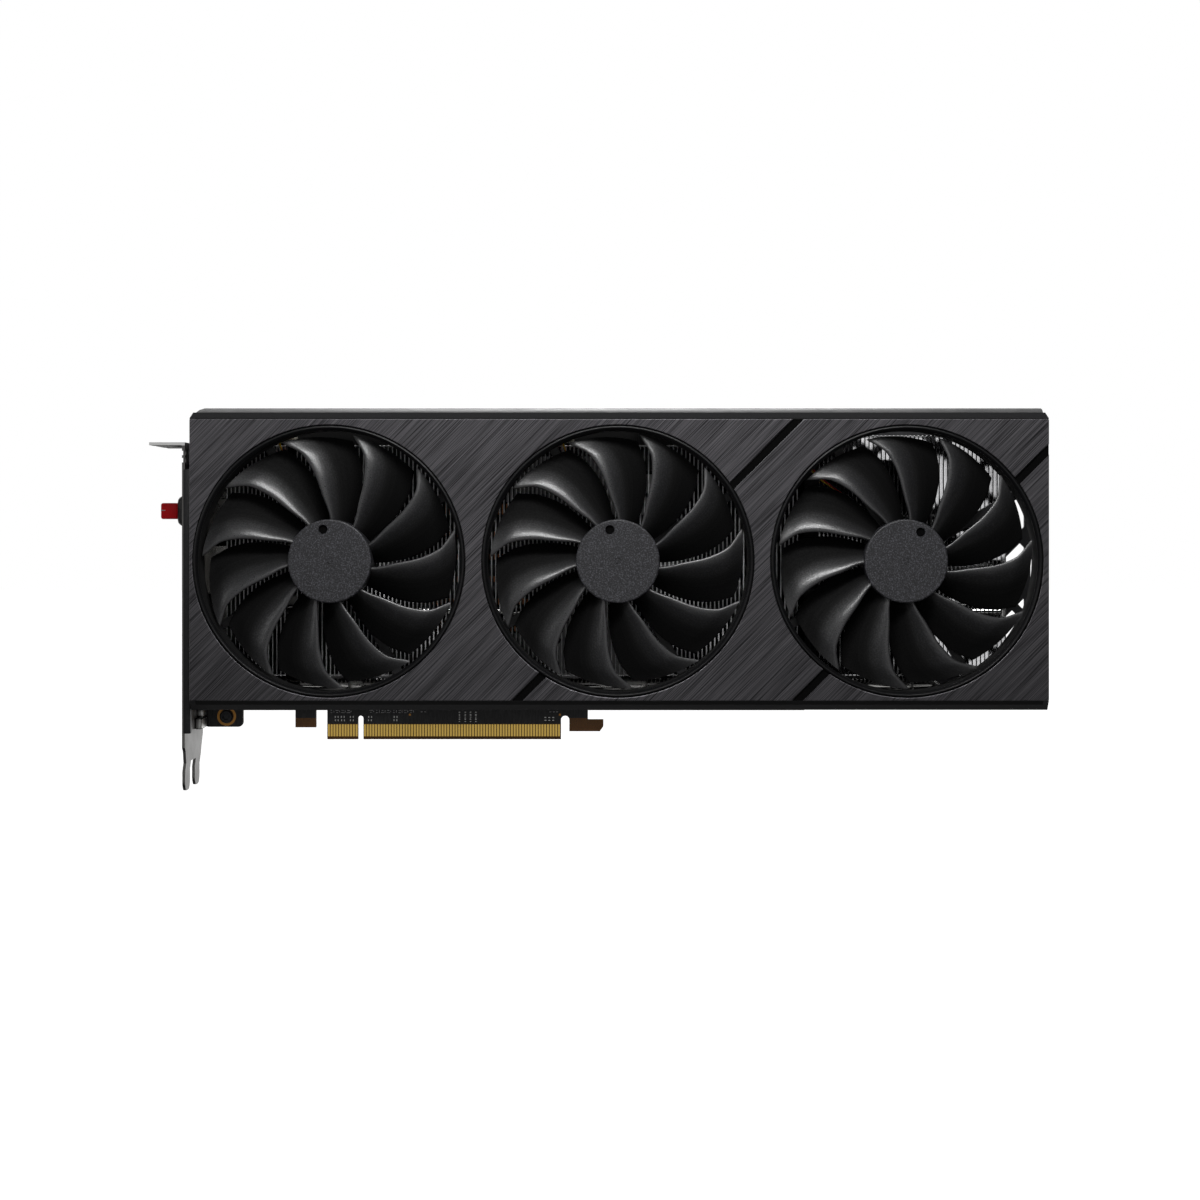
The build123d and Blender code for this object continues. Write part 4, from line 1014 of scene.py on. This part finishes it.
def leads():
    """Four thin wires to each fan, twisted together along the lead's course."""
    for number in range(len(FAN_CENTRES)):
        smooth = lead_course(number)
        bm = bmesh.new()
        for wire, (right, up) in enumerate(((-0.31, -0.31), (0.31, -0.31), (0.31, 0.31), (-0.31, 0.31))):
            rings = []
            for i, point in enumerate(smooth):
                ahead = (smooth[min(i + 1, len(smooth) - 1)] - smooth[max(i - 1, 0)]).normalized()
                side = ahead.cross(Vector((0.3, 0.2, 1))).normalized()
                other_side = ahead.cross(side)
                twist = 2 * pi * i / 22
                middle = point + side * (right * cos(twist) - up * sin(twist))
                middle += other_side * (right * sin(twist) + up * cos(twist))
                angles = [k * pi / 4 for k in range(8)]
                rings.append([middle + (side * cos(a) + other_side * sin(a)) * WIRE_R for a in angles])
            loft(bm, rings, lambda i: wire)
        name = f"fan_{number + 1}"
        show(f"{name}_wires", mesh_of(bm, "wires"), WIRES, "root", [f"{name}_lead"], sharp=60)


leads()

# ---------------------------------------------------------------- CAD nodes that keep their shape

FINISHES = {  # node: its material and the rounding of its edges
    "shroud_body": (SHROUD, 0.35),
    "backplate": (BACKPLATE, 0.2),
    "mounting_bracket": (STEEL, 0.15),
    "bracket_screws": (BLACK_STEEL, 0.12),
    "board_screw": (BLACK_STEEL, 0.15),
    "backplate_screws": (BLACK_STEEL, 0.1),
    "shroud_screws": (BLACK_STEEL, 0.1),
    "fan_screws": (BLACK_STEEL, 0.1),
    "spring_bracket": (SPRING, 0.15),
    "spring_bracket_screws": (BLACK_STEEL, 0.1),
    "spring_bracket_collars": (TIN, 0.08),
    "display_socket_shells": (SOCKET_METAL, 0.08),
    "media_socket_shell": (SOCKET_METAL, 0.08),
    "socket_inserts": (DARK, 0.1),
    "circuit_board": (BOARD, 0.0),
    "edge_contacts": (GOLD, 0.0),
    "chip_substrate": (SUBSTRATE, 0.1),
    "chip_die": (DIE, 0.05),
    "memory_chips": (CHIP, 0.12),
    "power_stages": (CHIP, 0.1),
    "chokes": (CHOKE, 0.4),
    "thermal_pads": (PAD, 0.1),
    "capacitors": (TIN, 0.1),
    "cold_plate": (COPPER, 0.2),
    "memory_plate": (PLATE_ALUMINIUM, 0.2),
    "fan_headers": (CREAM, 0.15),
    "fan_plugs": (CREAM, 0.15),
    "power_sockets": (DARK, 0.15),
    "power_pins": (TIN, 0.08),
}
for number in (1, 2, 3):
    FINISHES[f"fan_{number}_magnet_ring"] = (MAGNET, 0.1)
    FINISHES[f"fan_{number}_shaft"] = (TIN, 0.1)
    FINISHES[f"fan_{number}_bearing"] = (COPPER, 0.1)
    FINISHES[f"fan_{number}_stator"] = (COPPER, 0.1)
    FINISHES[f"fan_{number}_frame"] = (FRAME_PLASTIC, 0.25)

for node, (material, edge) in FINISHES.items():
    part = frame["nodes"][node]
    part.data.materials.clear()
    part.data.materials.append(material)
    if edge:
        weld = part.modifiers.new("weld", "WELD")
        weld.merge_threshold = 1e-6
        flat = part.modifiers.new("flat", "DECIMATE")
        flat.decimate_type = "DISSOLVE"
        flat.angle_limit = radians(0.5)
        soft = part.modifiers.new("edges", "BEVEL")
        soft.width = edge * MM
        soft.segments = 2
        soft.limit_method = "ANGLE"
        soft.angle_limit = radians(40)
        soft.harden_normals = True

# ---------------------------------------------------------------- stage, light and camera


def white_surface(name, glow):
    made = Surface(name, (0.9, 0.9, 0.9), 0.9, specular=0.0)
    made.set("Emission Color", (1, 1, 1, 1))
    made.set("Emission Strength", glow)
    return made.material


FLOOR_Z = -0.13


def stage():
    """Wide pale floor, some way below the card."""
    bm = bmesh.new()
    middle = Matrix.Translation((0.09, 1.0, FLOOR_Z))
    bmesh.ops.create_grid(bm, x_segments=2, y_segments=2, size=6, matrix=middle)
    mesh = bpy.data.meshes.new("floor")
    bm.to_mesh(mesh)
    bm.free()
    floor = loose("floor", mesh)
    mesh.materials.append(white_surface("floor_white", 0.8))
    floor.visible_diffuse = False
    floor.visible_glossy = False


def softbox(name, place, aim, width, tall, radiance):
    """A rectangular soft light of a given brightness."""
    light = bpy.data.lights.new(name, "AREA")
    light.shape = "RECTANGLE"
    light.size, light.size_y = width, tall
    light.energy = radiance * pi * width * tall
    holder = bpy.data.objects.new(name, light)
    SCENE.collection.objects.link(holder)
    holder.location = place
    holder.rotation_mode = "QUATERNION"
    holder.rotation_quaternion = (Vector(aim) - Vector(place)).to_track_quat("-Z", "Y")
    holder.visible_camera = False


def studio_world():
    """White all round to the eye; as light, white behind the card, grey in front and dark beside it."""
    world = bpy.data.worlds.new("studio")
    SCENE.world = world
    world.use_nodes = True
    tree = world.node_tree
    nodes, links = tree.nodes, tree.links
    nodes.clear()
    coordinates = nodes.new("ShaderNodeTexCoord")
    split = nodes.new("ShaderNodeSeparateXYZ")
    links.new(coordinates.outputs["Generated"], split.inputs["Vector"])
    turn = nodes.new("ShaderNodeMapRange")
    turn.inputs["From Min"].default_value = -1.0
    links.new(split.outputs["Y"], turn.inputs["Value"])
    level = nodes.new("ShaderNodeValToRGB")
    ramp = level.color_ramp
    ramp.elements[0].position, ramp.elements[1].position = 0.0, 0.78
    for place in (0.06, 0.20, 0.52):
        ramp.elements.new(place)
    for stop, value in zip(ramp.elements, (0.48, 0.26, 0.03, 0.03, 1.0)):
        stop.color = (value, value, value, 1)
    links.new(turn.outputs["Result"], level.inputs["Fac"])
    lit = nodes.new("ShaderNodeBackground")
    links.new(level.outputs["Color"], lit.inputs["Color"])
    seen = nodes.new("ShaderNodeBackground")
    seen.inputs["Strength"].default_value = 1.0
    seen.inputs["Color"].default_value = (1, 1, 1, 1)
    path = nodes.new("ShaderNodeLightPath")
    mix = nodes.new("ShaderNodeMixShader")
    links.new(path.outputs["Is Camera Ray"], mix.inputs["Fac"])
    links.new(lit.outputs["Background"], mix.inputs[1])
    links.new(seen.outputs["Background"], mix.inputs[2])
    output = nodes.new("ShaderNodeOutputWorld")
    links.new(mix.outputs["Shader"], output.inputs["Surface"])


stage()
studio_world()
CENTRE = (0.09, -0.03, 0.065)
softbox("key", (0.10, -0.34, 0.32), CENTRE, 0.30, 0.09, 14.0)
softbox("side", (-0.9, -0.55, 0.35), CENTRE, 0.4, 0.6, 1.2)

CAMERA_PLACE = (0.0897, -0.900, 0.0773)
LENS, SENSOR = 74.79, 36  # millimetres
SHIFT = (-0.0079167, -0.0625)  # shares of the picture's width
camera_data = bpy.data.cameras.new("camera")
camera_data.sensor_width = SENSOR
camera_data.lens = LENS
camera_data.shift_x, camera_data.shift_y = SHIFT
camera_data.clip_start, camera_data.clip_end = 0.01, 50
camera = bpy.data.objects.new("camera", camera_data)
SCENE.collection.objects.link(camera)
camera.location = CAMERA_PLACE
camera.rotation_euler = (radians(90), 0, 0)
SCENE.camera = camera
SCENE.view_settings.view_transform = "Standard"
